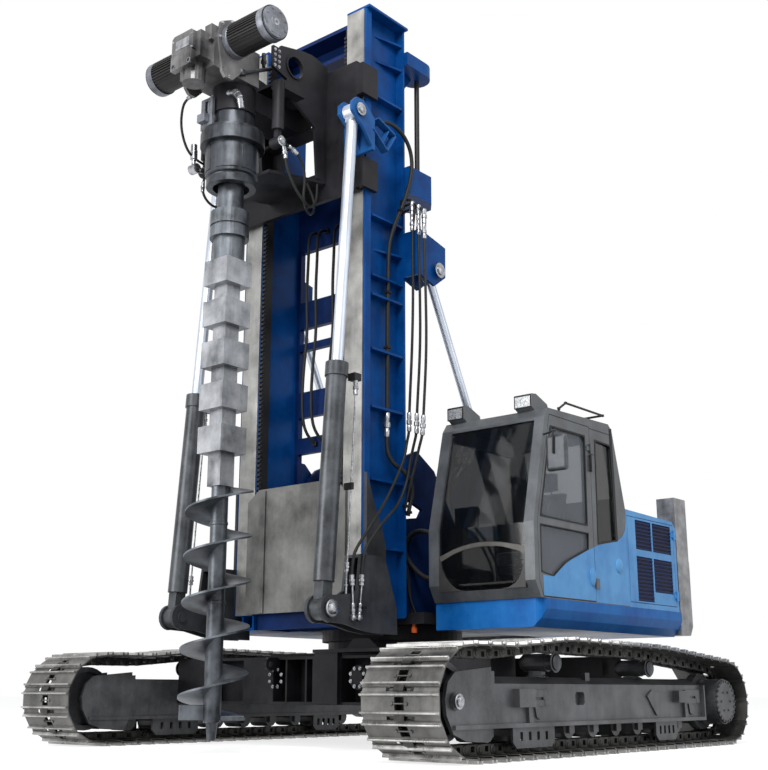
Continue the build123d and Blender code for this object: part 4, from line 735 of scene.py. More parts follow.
LOUVRES = [(-1405, -1090, 1800, 2080, 8), (-1810, -1430, 1800, 2080, 8),
           (-1405, -1090, 1315, 1735, 12), (-1810, -1430, 1415, 1735, 9)]
SLAT_TIP, SLAT_SHARE = 22, 0.9
for number, (x0, x1, z0, z1, count) in enumerate(LOUVRES):
    pitch = (z1 - z0) / count
    sizes = {"Foot": at((x0 + x1) / 2, 2094, z0 + pitch * 0.55), "Pitch": pitch / 1000, "Count": count,
             "Block Size": ((x1 - x0) / 1000, 0.003, pitch * SLAT_SHARE / 1000), "Tip": math.radians(SLAT_TIP)}
    grow(f"louvre_{number}", ROW, sizes, "louvre_navy", "hood_door")
# painted shade: a black sheet behind each field of slats stands for the shade inside the hood
piece("louvre_floors", [(block, (x0, 2087, z0), (x1, 2090, z1)) for x0, x1, z0, z1, count in LOUVRES],
      "black_steel", "hood_door")
print("teeth:", 2 * RACK_COUNT, "slats:", sum(field[-1] for field in LOUVRES))

# %% [markdown]
# ## The motors
# Each motor has cooling fins all round except for the strip below, where its cable box sits. A
# thin turned shell stands over the frame's cap, with a round cover plate and its ring of screws.

# %% Fins, caps and collars
MOTOR_X, MOTOR_Z, MOTOR_R, MOTOR_IN_Y, MOTOR_OUT_Y = 2562, 6194, 150, 336, 716
FIN_COUNT, FIN_FIRST, FIN_LAST = 28, -45, 205
FIN_FEET = arc(MOTOR_X, MOTOR_Z, MOTOR_R, FIN_FIRST, FIN_LAST, FIN_COUNT - 1)
FIN = [(block, (-11, (MOTOR_IN_Y - MOTOR_OUT_Y) / 2, -5.5), (11, (MOTOR_OUT_Y - MOTOR_IN_Y) / 2, 5.5))]
CAP = [(0, 150), (0, 161.5), (70, 161.5), (78, 156), (80, 145.5), (97, 145.5), (98, 140), (98, 60),
       (101, 56), (101, 2)]
COLLAR = [(0, 152), (8, 156), (58, 156), (64, 148), (72, 142)]
HUB = [(0, 34), (5, 34), (7, 31), (7, 15), (2, 14)]
SCREW, SCREW_R, SCREW_COUNT = [(0, 10), (8, 10), (9, 8)], 122, 8
SCREW_HOLES = arc(MOTOR_X, MOTOR_Z, SCREW_R, 22.5, 382.5, SCREW_COUNT)[:-1]


def ring(side, y, line, sides, x=MOTOR_X, z=MOTOR_Z):
    """A turned shape that stands out from a Y level, on the motor's axis or beside it."""
    return (turned, (x, side * y, z), (x, side * 900, z), line, sides)


for side, word in SIDES:
    spots = [((x, side * (MOTOR_IN_Y + MOTOR_OUT_Y) / 2, z),
              Euler((0, -math.atan2(z - MOTOR_Z, x - MOTOR_X), 0)).to_matrix()) for x, z in FIN_FEET]
    set_out(f"motor_fins_{word}", FIN, spots, "fin_black", "carriage")

    screws = [ring(side, 811, SCREW, 6, x, z) for x, z in SCREW_HOLES]
    for name, shapes, paint in (("motor_cap", [ring(side, 715, CAP, 48), *screws], "motor_grey"),
                                ("motor_collar", [ring(side, 264, COLLAR, 48)], "motor_grey"),
                                ("cap_hub", [ring(side, 810, HUB, 32)], "silver")):
        piece(f"{name}_{word}", shapes, paint, "carriage", smooth=35)
print("fins:", FIN_COUNT, "on each motor")

# %% [markdown]
# ## Hoses
# A hydraulic hose is a fixed length of stiff rubber that swings in one smooth curve, and so does
# a NURBS line with a bevel. Both ends of every hose are screwed into parts of the same body, so
# none has to stretch. The length is read from the curve itself.

# %% One hose
hose_lengths = {}


def route(name, spots, steps):
    """A NURBS curve pulled by machine points."""
    curve = bpy.data.curves.new(name, "CURVE")
    curve.dimensions = "3D"
    curve.resolution_u = 8
    line = curve.splines.new("NURBS")
    line.points.add(len(spots) - 1)
    for point, spot in zip(line.points, spots):
        point.co = (*at(*spot), 1)
    line.order_u, line.use_endpoint_u, line.resolution_u = 3, True, steps
    return curve


def line_of(curve):
    """A curve's line as points in metres, and its length."""
    holder = bpy.data.objects.new("measure", curve)
    mesh = bpy.data.meshes.new_from_object(holder)
    points = [v.co.copy() for v in mesh.vertices]
    bpy.data.objects.remove(holder)
    bpy.data.meshes.remove(mesh)
    return points, sum((b - a).length for a, b in zip(points, points[1:]))


def hose(name, spots, thick, body):
    """A hose of one smooth line through machine points; its length is kept with the others."""
    curve = route(name, spots, 8)
    length = line_of(curve)[1]
    curve.bevel_depth, curve.bevel_resolution, curve.use_fill_caps = thick / 2000, 3, True
    curve.materials.append(paints["hose_rubber"])
    obj = carried(shown(name, curve), body)
    hose_lengths[name] = length


print("hoses can be bent")

# %% [markdown]
# Couplings are steel sleeves pressed on the rubber, each with a hexagon, turned about the hose's
# own line.

# %% Couplings
SLEEVE = [(0.0, 0.8), (0.04, 1.0), (0.30, 1.0), (0.34, 0.86), (0.40, 0.86), (0.42, 1.22), (0.62, 1.22),
          (0.64, 0.86), (0.70, 0.86), (0.74, 1.0), (0.96, 1.0), (1.0, 0.8)]


def sleeve(bm, p, q, r):
    """A coupling between two points on a hose, with its hexagon in the middle."""
    turned(bm, p, q, [(share * math.dist(p, q), part * r) for share, part in SLEEVE], 16)


print("a coupling has", len(SLEEVE), "steps")

# %% [markdown]
# The thick hose in front of the left column comes down from the carriage's level to the foot.
# Three thinner ones hang behind the column, and two of them cross to the ports beside the feed
# cylinder.

# %% Hoses of the mast
HOSE_Y, SIDE_X = 765, 815
MAST_HOSES = {
    "column_hose": (38, [
        (1190, 735, 5745), (1176, 790, 5764), (1118, 862, 5780), (1005, 885, 5765), (872, 885, 5712),
        (782, 885, 5606), (752, 885, 5463), (775, 885, 5306), (840, 880, 5105), (888, 850, 4944),
        (915, 810, 4831), (940, 775, 4690), (968, HOSE_Y, 4553), (974, HOSE_Y, 4272), (982, HOSE_Y, 4035),
        (986, HOSE_Y, 3572), (989, HOSE_Y, 3250), (990, HOSE_Y, 2953), (994, HOSE_Y, 2722),
        (994, HOSE_Y, 2633), (984, 772, 2560), (925, 795, 2474), (830, 835, 2418), (752, 850, 2340),
        (720, 840, 2240), (735, 822, 2133), (752, 812, 2030)]),
    "side_hose_inner": (26, [
        (800, 812, 5075), (802, 840, 5078), (806, 892, 5070), (811, 936, 5034), (814, 956, 4970),
        (SIDE_X, 954, 4880), (SIDE_X, 932, 4736), (SIDE_X, 938, 4140), (SIDE_X, 922, 3581),
        (SIDE_X, 883, 2967), (SIDE_X, 882, 2788), (SIDE_X, 853, 2689), (835, 855, 2610), (870, 860, 2520),
        (961, 860, 2357), (1200, 930, 2105), (1425, 1010, 1926), (1569, 1010, 1768), (1675, 1010, 1642),
        (1717, 1010, 1569), (1733, 1010, 1419)]),
    "side_hose_middle": (26, [
        (800, 812, 5020), (803, 870, 5024), (808, 938, 5018), (812, 992, 4976), (SIDE_X, 1016, 4905),
        (SIDE_X, 1014, 4810), (SIDE_X, 1007, 4674), (SIDE_X, 1018, 4122), (SIDE_X, 1019, 3563),
        (SIDE_X, 972, 2944), (SIDE_X, 967, 2758), (810, 930, 2660), (800, 880, 2520), (830, 865, 2317),
        (942, 860, 2106), (1296, 1010, 1928), (1461, 1010, 1767), (1560, 1010, 1652), (1594, 1010, 1556),
        (1606, 1010, 1428)]),
    "side_hose_outer": (26, [
        (800, 812, 4965), (806, 960, 4971), (SIDE_X, 1076, 4925), (SIDE_X, 1074, 4621),
        (SIDE_X, 1086, 4107), (SIDE_X, 1092, 3549), (SIDE_X, 1049, 2915), (SIDE_X, 1034, 2731),
        (SIDE_X, 1000, 2640), (805, 950, 2500), (800, 890, 2330), (802, 845, 2200), (802, 820, 2090)]),
}
# Foot of the coupling at a hose's end and the ball on its port, each X and Z
PORT_ENDS = {"side_hose_inner": ((1723, 1329), (1712, 1075)), "side_hose_middle": ((1609, 1336), (1639, 1079))}
BALL = [(0, 12), (6, 26), (20, 30), (34, 26), (40, 12)]
ports = []
for name, (thick, spots) in MAST_HOSES.items():
    ends = []
    if name in PORT_ENDS:
        y = spots[-1][1]
        (px, pz), (bx, bz) = PORT_ENDS[name]
        ends = [piece(name + "_end", [(sleeve, spots[-1], (px, y, pz), 21)], "silver", "mast",
                      smooth=35)]
        ports += [(rod, (px, y, pz), (bx, y, bz), 8),
                  (sleeve, (px + (bx - px) * 0.55, y, pz + (bz - pz) * 0.55), (bx, y, bz), 16),
                  (turned, (bx, y - 18, bz), (bx, y + 22, bz), BALL, 16)]
    hose(name, spots, thick, "mast")
piece("port_pipes", ports, "silver", "mast", smooth=35)
for name, y in (("inner_hose_right", -260), ("inner_hose_middle", -140), ("inner_hose_left", 86)):
    hose(name, [(862, y, 5000), (940, y, 4990), (1000, y + 6, 4900), (1000, y + 6, 4700), (1004, y - 8, 4300),
                (1000, y + 10, 3900), (1010, y - 30, 3500), (1000, y - 50, 3150), (960, y - 40, 2900),
                (862, y, 2820)], 30, "mast")
print("longest hose of the mast:", max(hose_lengths, key=hose_lengths.get))

# %% Couplings and clamps of the mast
SIDE_SLEEVES = [(883, 2967, 882, 2788, 21), (972, 2944, 967, 2758, 21), (1049, 2915, 1034, 2731, 21),
                (931, 5038, 930, 4880, 22), (930, 4880, 930, 4736, 20), (1008, 4981, 1007, 4820, 22),
                (1007, 4820, 1007, 4674, 20), (1076, 4919, 1075, 4770, 22), (1075, 4770, 1074, 4621, 20)]
couplings = [(sleeve, (SIDE_X, y0, z0), (SIDE_X, y1, z1), r) for y0, z0, y1, z1, r in SIDE_SLEEVES]
couplings += [(sleeve, (990, HOSE_Y, 2953), (994, HOSE_Y, 2722), 27)]
piece("mast_couplings", couplings, "silver", "mast", smooth=35)
CLAMPS = [(986, HOSE_Y, 3572, 27), (978, HOSE_Y, 4110, 27), (888, 850, 4944, 27), (752, 812, 2060, 28),
          (802, 822, 2110, 22), (1583, 1004, 1161, 22)]
clamps = [(block, (x - half, y - half, z - 12), (x + half, y + half, z + 12)) for x, y, z, half in CLAMPS]
clamps += [(block, (788, 780, z - 18), (818, 830, z + 18)) for z in (5075, 5020, 4965)]
clamps += [(block, (842, y - 24, z - 24), (872, y + 24, z + 24))
           for y in (-260, -140, 86) for z in (2820, 5000)]
piece("hose_clamps", clamps, "dark_grey", "mast", bevel=3)
print("couplings and clamps set")

# %% [markdown]
# The steel pipe beside each feed cylinder runs from the gland's port block to the lower end and
# rides with the barrel.

# %% Pipes along the feed barrels
PIPE_LINE, PIPE_Y, PIPE_R = [(1657, 2955), (1665, 2785), (1703, 2172), (1725, 1804), (1742, 1524)], 968, 8
BEND = [(0.4, 2.4), (2.4, 6), (8, 8.32), (13.6, 6), (15.6, 2.4)]
for side, word in SIDES:
    body, y = f"feed_barrel_{word}", side * PIPE_Y
    spots = [(x, y, z) for x, z in PIPE_LINE]
    pipe = [(rod, p, q, PIPE_R) for p, q in zip(spots, spots[1:])]
    pipe += [(turned, (x, y, z - PIPE_R), (x, y, z + PIPE_R), BEND, 12) for x, y, z in spots[1:-1]]
    piece(f"barrel_pipe_{word}", pipe, "silver", body, smooth=40)
    foot_line = [(0, 9), (100, 9), (101, 17), (112, 17), (113, 9), (250, 9)]
    piece(f"barrel_couplings_{word}", [
        (sleeve, (1655, y, 3089), (1657, y, 2955), 21), (sleeve, (1742, y, 1524), (1748, y, 1440), 20),
        (turned, (1748, y, 1440), (1759, y, 1180), foot_line, 12)], "silver", body, smooth=35)
    piece(f"barrel_clamps_{word}", [
        (block, (1690, min(y + 22, y - side * 70), 2130), (1720, max(y + 22, y - side * 70), 2189)),
        (block, (1605, min(y, y - side * 60), 3085), (1690, max(y + side * 24, y - side * 60), 3150))],
        "black_steel", body, bevel=3)
print("pipes set along both barrels")

# %% [markdown]
# The corrugated loop beside the cab carries cables from the house to the mast's foot. Its ribs
# are real rings along a NURBS line.

# %% The corrugated loop
LOOP_X, RIB_LOW, RIB_HIGH = 450, 0.021, 0.024
LOOP = [(972, 1880), (900, 1888), (832, 1903), (692, 1941), (574, 1892), (531, 1777), (556, 1684), (622, 1602),
        (705, 1533), (786, 1490), (880, 1468), (972, 1460)]


def ribbed_tube(bm, points, sides=16):
    """A tube along points in metres whose radius swaps in pairs of rings."""
    side = Vector((1, 0, 0))
    rings = []
    for i, spot in enumerate(points):
        ahead = (points[min(i + 1, len(points) - 1)] - points[max(i - 1, 0)]).normalized()
        across = ahead.cross(side).normalized()
        radius = RIB_HIGH if i % 4 < 2 else RIB_LOW
        rings.append([spot + way * radius for way in circle(side, across, sides)])
    skin(bm, rings)


loop_points, loop_length = line_of(route("route", [(LOOP_X, y, z) for y, z in LOOP], 16))
loop = shown("cable_loop", mesh_of("cable_loop", [(ribbed_tube, loop_points)], lambda *p: p))
loop.data.materials.append(paints["black_steel"])
carried(loop, "house")
hose_lengths["cable_loop"] = loop_length
piece("loop_glands", [(sleeve, (LOOP_X, 930, z + dz), (LOOP_X, 986, z), 30)
                      for z, dz in ((1880, 2), (1460, 3))], "silver", "house", smooth=35)
hose("thin_line_front", [(470, 535, 1766), (475, 550, 1650), (475, 575, 1548), (475, 609, 1296),
                         (475, 672, 1184)], 16, "house")
hose("thin_line_rear", [(460, 551, 1728), (455, 580, 1520), (455, 606, 1300), (455, 622, 1187)], 16, "house")
print("loop:", round(loop_length, 2), "m")

# %% [markdown]
# ## Hoses and pipes of the drilling head
# On each side a hose swings from above down to the clamping cylinder, and another leaves the
# cylinder's foot for the sloped floor of the carriage.

# %% Hoses of the head
HEAD_HOSES = {
    "head_hose_upper": [(2545, -284, 5875), (2545, -400, 5862), (2518, -478, 5792), (2520, -480, 5629),
                        (2475, -480, 5486), (2410, -478, 5392), (2310, -480, 5352), (2226, -480, 5345)],
    "head_hose_lower": [(2205, -482, 5228), (2218, -480, 5140), (2222, -480, 5058), (2180, -470, 4985),
                        (2107, -450, 4938), (1980, -420, 4945), (1870, -390, 5000), (1800, -375, 5072)],
    "head_hose_front": [(2165, 540, 5240), (2152, 540, 5183), (2130, 540, 5055), (2037, 540, 4898),
                        (1900, 530, 4800), (1780, 500, 4775), (1660, 450, 4850), (1580, 400, 4990),
                        (1560, 380, 5115)],
    "head_hose_rear": [(2138, 540, 5262), (2064, 545, 5235), (1975, 545, 5205), (1900, 540, 5110),
                       (1872, 525, 4990), (1866, 500, 4870), (1800, 465, 4770), (1705, 430, 4745),
                       (1615, 400, 4810), (1590, 382, 4950), (1690, 372, 5085)],
}
for name, spots in HEAD_HOSES.items():
    hose(name, spots, 24, "carriage")


def elbow(bm, p, q, r):
    """A short pipe with a collar near its start."""
    length = math.dist(p, q)
    turned(bm, p, q, [(-6, r - 6), (0, r), (length * 0.3, r), (length * 0.32, r + 5), (length * 0.45, r + 5),
                      (length * 0.47, r), (length, r), (length + 6, r - 6)], 20)


MANIFOLD = [(0, 20), (4, 30), (60, 30), (62, 34), (150, 34), (156, 20), (200, 20)]
piece("head_elbows", [
    (sleeve, (2165, 540, 5232), (2140, 540, 5120), 20), (sleeve, (2110, 542, 5255), (2000, 545, 5216), 22),
    (sleeve, (2545, -290, 5874), (2545, -370, 5864), 18), (sleeve, (2218, -480, 5160), (2222, -480, 5060), 18),
    (turned, (2350, -480, 5500), (2346, -480, 5300), MANIFOLD, 20),
    (turned, (2333, -530, 5255), (2333, -430, 5255), [(0, 36), (8, 48), (92, 48), (100, 36)], 24),
    (turned, (2215, -480, 5270), (2320, -480, 5258), [(0, 26), (100, 26)], 12),
    (elbow, (2450, -107, 5829), (2450, 60, 5797), 34), (elbow, (2450, 60, 5797), (2450, 190, 5775), 28),
    (elbow, (2450, 190, 5775), (2450, 250, 5690), 34), (elbow, (2450, 250, 5690), (2420, 240, 5610), 30),
], "silver", "carriage", smooth=35)
print("hoses in all:", len(hose_lengths), "with", round(sum(hose_lengths.values()), 1), "m")

# %% [markdown]
# ## The cab's trim
# The cab is grey above and light blue below, and the colours meet in one sweeping curve across
# the door and the panel behind it. Each is a thin plate, so the door's gap stays open.

# %% Blue lower panels
CAB_SIDE_Y = 2100
SWEEP = [(389, 1436), (300, 1492), (202, 1550), (108, 1597), (12, 1638), (-100, 1679), (-208, 1713),
         (-300, 1742)]
REAR_SWEEP = [(-306, 1745), (-383, 1769), (-500, 1795), (-620, 1817), (-719, 1838), (-780, 1862),
              (-840, 1900), (-885, 1950), (-905, 2020)]
DOOR_FRONT = [(549, 1268), (552, 1300), (553, 1436)]
for name, outline, body in (("door_panel", [(-300, 1268), *DOOR_FRONT, *SWEEP], "cab_door"),
                            ("rear_panel", [(-908, 1256), (-306, 1256), *REAR_SWEEP], "house")):
    piece(name, [(plate, outline, CAB_SIDE_Y + 0.3, CAB_SIDE_Y + 3)], "light_blue", body, bevel=1)
print("the sweep rises from", SWEEP[0][1], "to", REAR_SWEEP[-1][1])

# %% [markdown]
# Both handles are smooth shells: a dome from a quarter arc, stretched to an oval.

# %% Handles


def oval_dome(bm, x, z, half_x, half_z, height, steps=6, sides=32):
    """An oval dome standing on the cab's left wall."""
    y0 = CAB_SIDE_Y + 1
    rings = []
    for a in (math.pi / 2 * step / steps for step in range(steps)):
        rim = circle(Vector((half_x, 0, 0)), Vector((0, 0, half_z)), sides)
        rings.append([Vector((x, y0 + height * math.sin(a), z)) + way * math.cos(a) for way in rim])
    skin(bm, [*rings, [(x, y0 + height, z)]])


GRIP_X = -288
piece("door_handle", [(oval_dome, -248, 1475, 47, 86, 30)], "light_blue", "cab_door", smooth=40)
piece("panel_handle", [(oval_dome, -738, 1612, 62, 70, 24)], "light_blue", "house", smooth=40)
piece("grip", [
    (turned, (GRIP_X, CAB_SIDE_Y + 14, 2425), (GRIP_X, CAB_SIDE_Y + 14, 2585),
     [(0, 6), (4, 11), (60, 12), (156, 11), (160, 6)], 12),
    *((rod, (GRIP_X, CAB_SIDE_Y - 1, z), (GRIP_X, CAB_SIDE_Y + 13, z), 7, 10) for z in (2440, 2570)),
], "dark_grey", "cab_door", smooth=40)
print("handles set")

# %% [markdown]
# Panes sit in black rubber: a narrow ring that follows the pane's outline, rounded at its corners
# and set in and out by a few millimetres.

# %% Rubber seals


def rounded(points, r, steps=5):
    """An outline with each corner replaced by a short curve that starts r before it."""
    made = []
    for i, corner in enumerate(points):
        c = Vector(corner)
        a = c + (Vector(points[i - 1]) - c).normalized() * r
        b = c + (Vector(points[(i + 1) % len(points)]) - c).normalized() * r
        made += [a * (1 - t) ** 2 + c * 2 * t * (1 - t) + b * t * t
                 for t in (k / steps for k in range(steps + 1))]
    return made


def set_off(points, gap):
    """An outline moved outwards by a gap, along the mean of its corners' normals."""
    area = sum(p[0] * q[1] - q[0] * p[1] for p, q in zip(points, points[1:] + points[:1]))
    sign = 1 if area > 0 else -1
    moved = []
    for i, spot in enumerate(points):
        before, after = Vector(points[i - 1]), Vector(points[(i + 1) % len(points)])
        a, b = (Vector(spot) - before).normalized(), (after - Vector(spot)).normalized()
        out = Vector((a.y + b.y, -a.x - b.x)) * sign
        out = out / max(out.length_squared, 0.2) * 2 * gap
        moved.append((spot[0] + out.x, spot[1] + out.y))
    return moved


def seal(bm, points, inner, outer, r, proud):
    """A ring of rubber about a pane's outline in X, Z."""
    low, high = rounded(set_off(points, inner), r), rounded(set_off(points, outer), r * 0.4)
    y0, y1 = CAB_SIDE_Y - 12, CAB_SIDE_Y + proud
    skin(bm, [[(x, y, z) for x, z in line] for line, y in ((low, y0), (low, y1), (high, y1), (high, y0))], True)


UPPER_PANE = [(563, 1936), (361, 2744), (-216, 2748), (-202, 1930)]
LOWER_PANE = [(572, 1863), (-215, 1860), (-204, 1717), (190, 1570), (385, 1440), (572, 1462)]
REAR_PANE = [(-399, 2738), (-684, 2729), (-729, 1843), (-383, 1784)]
piece("door_seals", [(seal, UPPER_PANE, -7, 7, 34, 4), (seal, LOWER_PANE, -5, 4, 14, 3.5)],
      "seal_rubber", "cab_door", smooth=40)
piece("side_seals", [
    (seal, REAR_PANE, -7, 8, 30, 4),
    (plate, [(-676, 2896), (-716, 2900), (-740, 1842), (-700, 1834)], CAB_SIDE_Y + 0.3, CAB_SIDE_Y + 5),
    (plate, [(-306, 2838), (-306, 2832), (-676, 2832), (-676, 2838)], CAB_SIDE_Y + 0.3, CAB_SIDE_Y + 2),
], "seal_rubber", "house", smooth=40)
print("seals round three panes")

# %% [markdown]
# The windscreen has round lower corners, dark with painted shade, and a curved bar crosses it low down, where
# the upper pane ends.

# %% Windscreen corners and bar
SCREEN_X, SCREEN_LEFT, SCREEN_RIGHT, SCREEN_FOOT = 672, 1095, 2000, 1335
LEFT_CORNER = [(1374, 1335), (1315, 1343), (1260, 1366), (1205, 1410), (1161, 1464), (1126, 1530), (1112, 1601),
               (1095, 1640)]
RIGHT_CORNER = [(2000, 1657), (1985, 1560), (1971, 1467), (1940, 1415), (1899, 1375), (1830, 1342),
                (1758, 1335)]
ARC_TOP = [(1090, 1645), (1121, 1655), (1249, 1699), (1350, 1722), (1449, 1737), (1530, 1742), (1611, 1741),
           (1700, 1734), (1770, 1725), (1925, 1694), (2005, 1672)]
ARC_LOW_Z = [1592, 1606, 1659, 1686, 1700, 1706, 1705, 1699, 1689, 1646, 1612]
arc_low = [(spot[0], z) for spot, z in zip(ARC_TOP, ARC_LOW_Z)]
# the corners take a darker grey as painted shade on the cab's front
piece("screen_corners", [
    (plate_across, [(SCREEN_LEFT - 1, SCREEN_FOOT - 1), *LEFT_CORNER], SCREEN_X - 17, SCREEN_X - 1),
    (plate_across, [(SCREEN_RIGHT + 1, SCREEN_FOOT - 1), *RIGHT_CORNER], SCREEN_X - 17, SCREEN_X - 1),
], "grey_in_painted_shade", "house")
piece("screen_bar", [(plate_across, ARC_TOP + arc_low[::-1], SCREEN_X - 17, SCREEN_X - 10)], "screen_bar",
      "house")
print("windscreen bar from", ARC_TOP[0], "to", ARC_TOP[-1])

# %% Roof lamps and mirror
for number, y in enumerate((1117, 1863)):
    piece(f"lamp_lens_{number}", [(block, (421, y - 82, 2936), (427, y + 82, 3036))], "lamp_lens", "house",
          bevel=3)
    rim = [(-88, -80, 2930, 3044), (80, 88, 2930, 3044), (-88, 88, 2928, 2938), (-88, 88, 3036, 3046)]
    piece(f"lamp_rim_{number}", [(block, (419, y + y0, z0), (431, y + y1, z1)) for y0, y1, z0, z1 in rim],
          "black_steel", "house", bevel=2)
mirror = piece("mirror_shell", [(block, (512, 2172, 2300), (572, 2376, 2612))], "cylinder_grey", "house",
               bevel=30)
mirror.modifiers["edges"].segments = 5
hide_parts("mirror")
ARM = [((465, 2096, 2652), (540, 2266, 2652)), ((540, 2266, 2656), (586, 2266, 2640)),
       ((586, 2266, 2644), (586, 2258, 2450)), ((590, 2258, 2452), (560, 2258, 2452))]
piece("mirror_arm", [(rod, p, q, 8, 10) for p, q in ARM], "black_steel", "house", smooth=40)
print("lamps and mirror dressed")

# %% [markdown]
# ## Bolts
# One bolt head with its washer is the item, and a list of spots says where each one stands and
# which way it faces, so one tree serves for every flange.

# %% A bolt and its rings


def facing(normal):
    """The turn that points an item's Z along a normal."""
    return Vector(normal).to_track_quat("Z", "Y").to_matrix()


def bolt(r):
    """A hexagon head on its washer."""
    return [(turned, (0, 0, -1), (0, 0, 9), [(0, 1.5 * r), (3, 1.5 * r), (3.3, 1.4 * r)], 12),
            (turned, (0, 0, 1), (0, 0, 9), [(0, r), (1 + 0.65 * r, r), (1 + 0.8 * r, 0.85 * r)], 6)]


def ring_of(middle, normal, radius, count, first=0.0):
    """Spots on a circle round a middle, all facing along its normal."""
    turn = facing(normal)
    rim = arc(0, 0, radius, first, first + 360, count)[:-1]
    return [(tuple(Vector(middle) + turn @ Vector((*spot, 0))), turn) for spot in rim]


GEARBOX_FLANGE = [(2587, 6396), (2702, 6336), (2726, 6190), (2668, 5884), (2610, 5842), (2456, 5962),
                  (2405, 6190), (2436, 6336), (2508, 6394)]
DRIVE_FACE_Y = 2390
gearbox_spots = [((x, side * 262, z), facing((0, side, 0))) for side, word in SIDES for x, z in GEARBOX_FLANGE]
cover_spots = [((2925, y, z), facing((1, 0, 0))) for y in (-143, 112) for z in (6056, 6186)]
strip_spots = [((x, side * 380, z), facing((0, side, 0))) for side, word in SIDES
               for x in (2096, 2150) for z in (6114, 6168, 6222, 6276)]
hub_spots = [spot for y in (503, -503) for spot in ring_of((1085, y, 610), (1, 0, 0), 82, 8, 22.5)]
drive_spots = [spot for side, word in SIDES for r, count in ((187, 22), (96, 6))
               for spot in ring_of((SPROCKET_X, side * DRIVE_FACE_Y, SPROCKET_Z), (0, side, 0), r, count)]
for name, radius, spots, paint, body, slot in (
        ("gearbox_bolts", 13, gearbox_spots, "silver", "carriage", "head_grey"),
        ("cover_bolts", 8, cover_spots, "silver", "carriage", "head_grey"),
        ("strip_bolts", 11, strip_spots, "silver", "carriage", "dark_grey"),
        ("hub_bolts", 11, hub_spots, "silver", "chassis", "dark_grey"),
        ("drive_bolts", 10, drive_spots, "frame_grey", "chassis", "frame_grey")):
    set_out(name, bolt(radius), spots, paint, body, 30)
    print(name, len(spots))

# %% [markdown]
# ## The rotary head
# The spindle's housing is turned steel: a wide ring, a drum with raised panels, and an open
# collar round the shaft. The frame has it with coarse sides, so the whole housing is turned anew.

# %% Spindle housing
SADDLE_Z, RING_TOP, RING_LOW, DRUM_LOW, COLLAR_LOW = 5638, 5464, 5315, 5016, 4922
HOUSING = [(SADDLE_Z, 188), (RING_TOP + 1, 190), (RING_TOP, 284), (RING_TOP - 24, 286), (RING_TOP - 26, 292),
           (RING_TOP - 30, 296), (RING_LOW + 4, 296), (RING_LOW, 292), (RING_LOW - 1, 240),
           (DRUM_LOW + 8, 238), (DRUM_LOW + 4, 234), (DRUM_LOW - 4, 216), (DRUM_LOW - 20, 214),
           (DRUM_LOW - 24, 228), (COLLAR_LOW + 3, 228), (COLLAR_LOW, 225), (COLLAR_LOW, 166), (4990, 160),
           (4992, 121)]
spindle = piece("spindle_turned", [(turned, (AXIS_X, 0, SADDLE_Z), (AXIS_X, 0, 0),
                                    [(SADDLE_Z - z, r) for z, r in HOUSING], 72)],
                "spindle_steel", "carriage", smooth=35)
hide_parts("spindle_housing")


def sector(bm, r0, r1, start, stop, low, high, steps=12):
    """A curved panel about the drill's axis, angles in degrees from +X towards +Y."""
    skin(bm, [[(AXIS_X + r * x, r * y, z) for r, z in ((r0, low), (r1, low), (r1, high), (r0, high))]
              for x, y in arc(0, 0, 1, start, stop, steps)])


PANEL_COUNT, PANEL_STEP, PANEL_SPAN = 6, 58, 52
piece("drum_panels", [(sector, 236, 245, a, a + PANEL_SPAN, DRUM_LOW + 34, RING_LOW - 16)
                      for a in (11 + PANEL_STEP * k for k in range(PANEL_COUNT))],
      "spindle_steel", "carriage", bevel=3, smooth=35)
piece("spindle_bracket", [
    (block, (2510, -170, 5462), (2545, -115, 5770)), (block, (2510, -77, 5462), (2545, -20, 5770)),
    (block, (2511, -116, 5462), (2544, -76, 5600)), (block, (2511, -116, 5740), (2544, -76, 5769)),
    (block, (2544, -160, 5520), (2600, -60, 5600)),
    (plate, [(2415, 5462), (2515, 5462), (2515, 5620)], -70, -45),
], "motor_grey", "carriage", bevel=4)
print("spindle turned with", len(HOUSING), "steps")

# %% [markdown]
# The gearbox has a bare nameplate, two plug holes, a dark oil tube to the carriage and a small
# bottle beside it.

# %% Gearbox trim
PLUGS_Y, PLUG_Z = (-120, 90), 5925
piece("nameplate", [(block, (2924, -104, 6084), (2929, 74, 6176))], "silver", "carriage", bevel=2)
PLUG_LINE = [(0, 25), (5, 25), (6, 23), (6, 18), (3, 17)]
piece("plug_rims", [(turned, (2933, y, PLUG_Z), (3000, y, PLUG_Z), PLUG_LINE, 20) for y in PLUGS_Y],
      "motor_grey", "carriage", smooth=35)
piece("plug_holes", [(rod, (2930, y, PLUG_Z), (2936.5, y, PLUG_Z), 17.5, 20) for y in PLUGS_Y], "seal_rubber",
      "carriage")
BOTTLE = [(0, 16), (3, 20), (70, 20), (74, 27), (100, 27), (104, 18), (140, 16)]
piece("oil_tube", [
    (turned, (2431, 262, 5950), (2088, 262, 6142), [(0, 20), (394, 20)], 20),
    (turned, (2431, 262, 5950), (2431, 262, 5800), [(-26, 20), (-20, 26), (20, 26), (26, 20)], 20),
    (turned, (2286, 372, 6170), (2286, 372, 5900), BOTTLE, 20),
], "cylinder_grey", "carriage", smooth=35)
print("gearbox trimmed")

# %% [markdown]
# ## Pin ends
# Every big pin ends in a washer and a round nut, bright from wear.

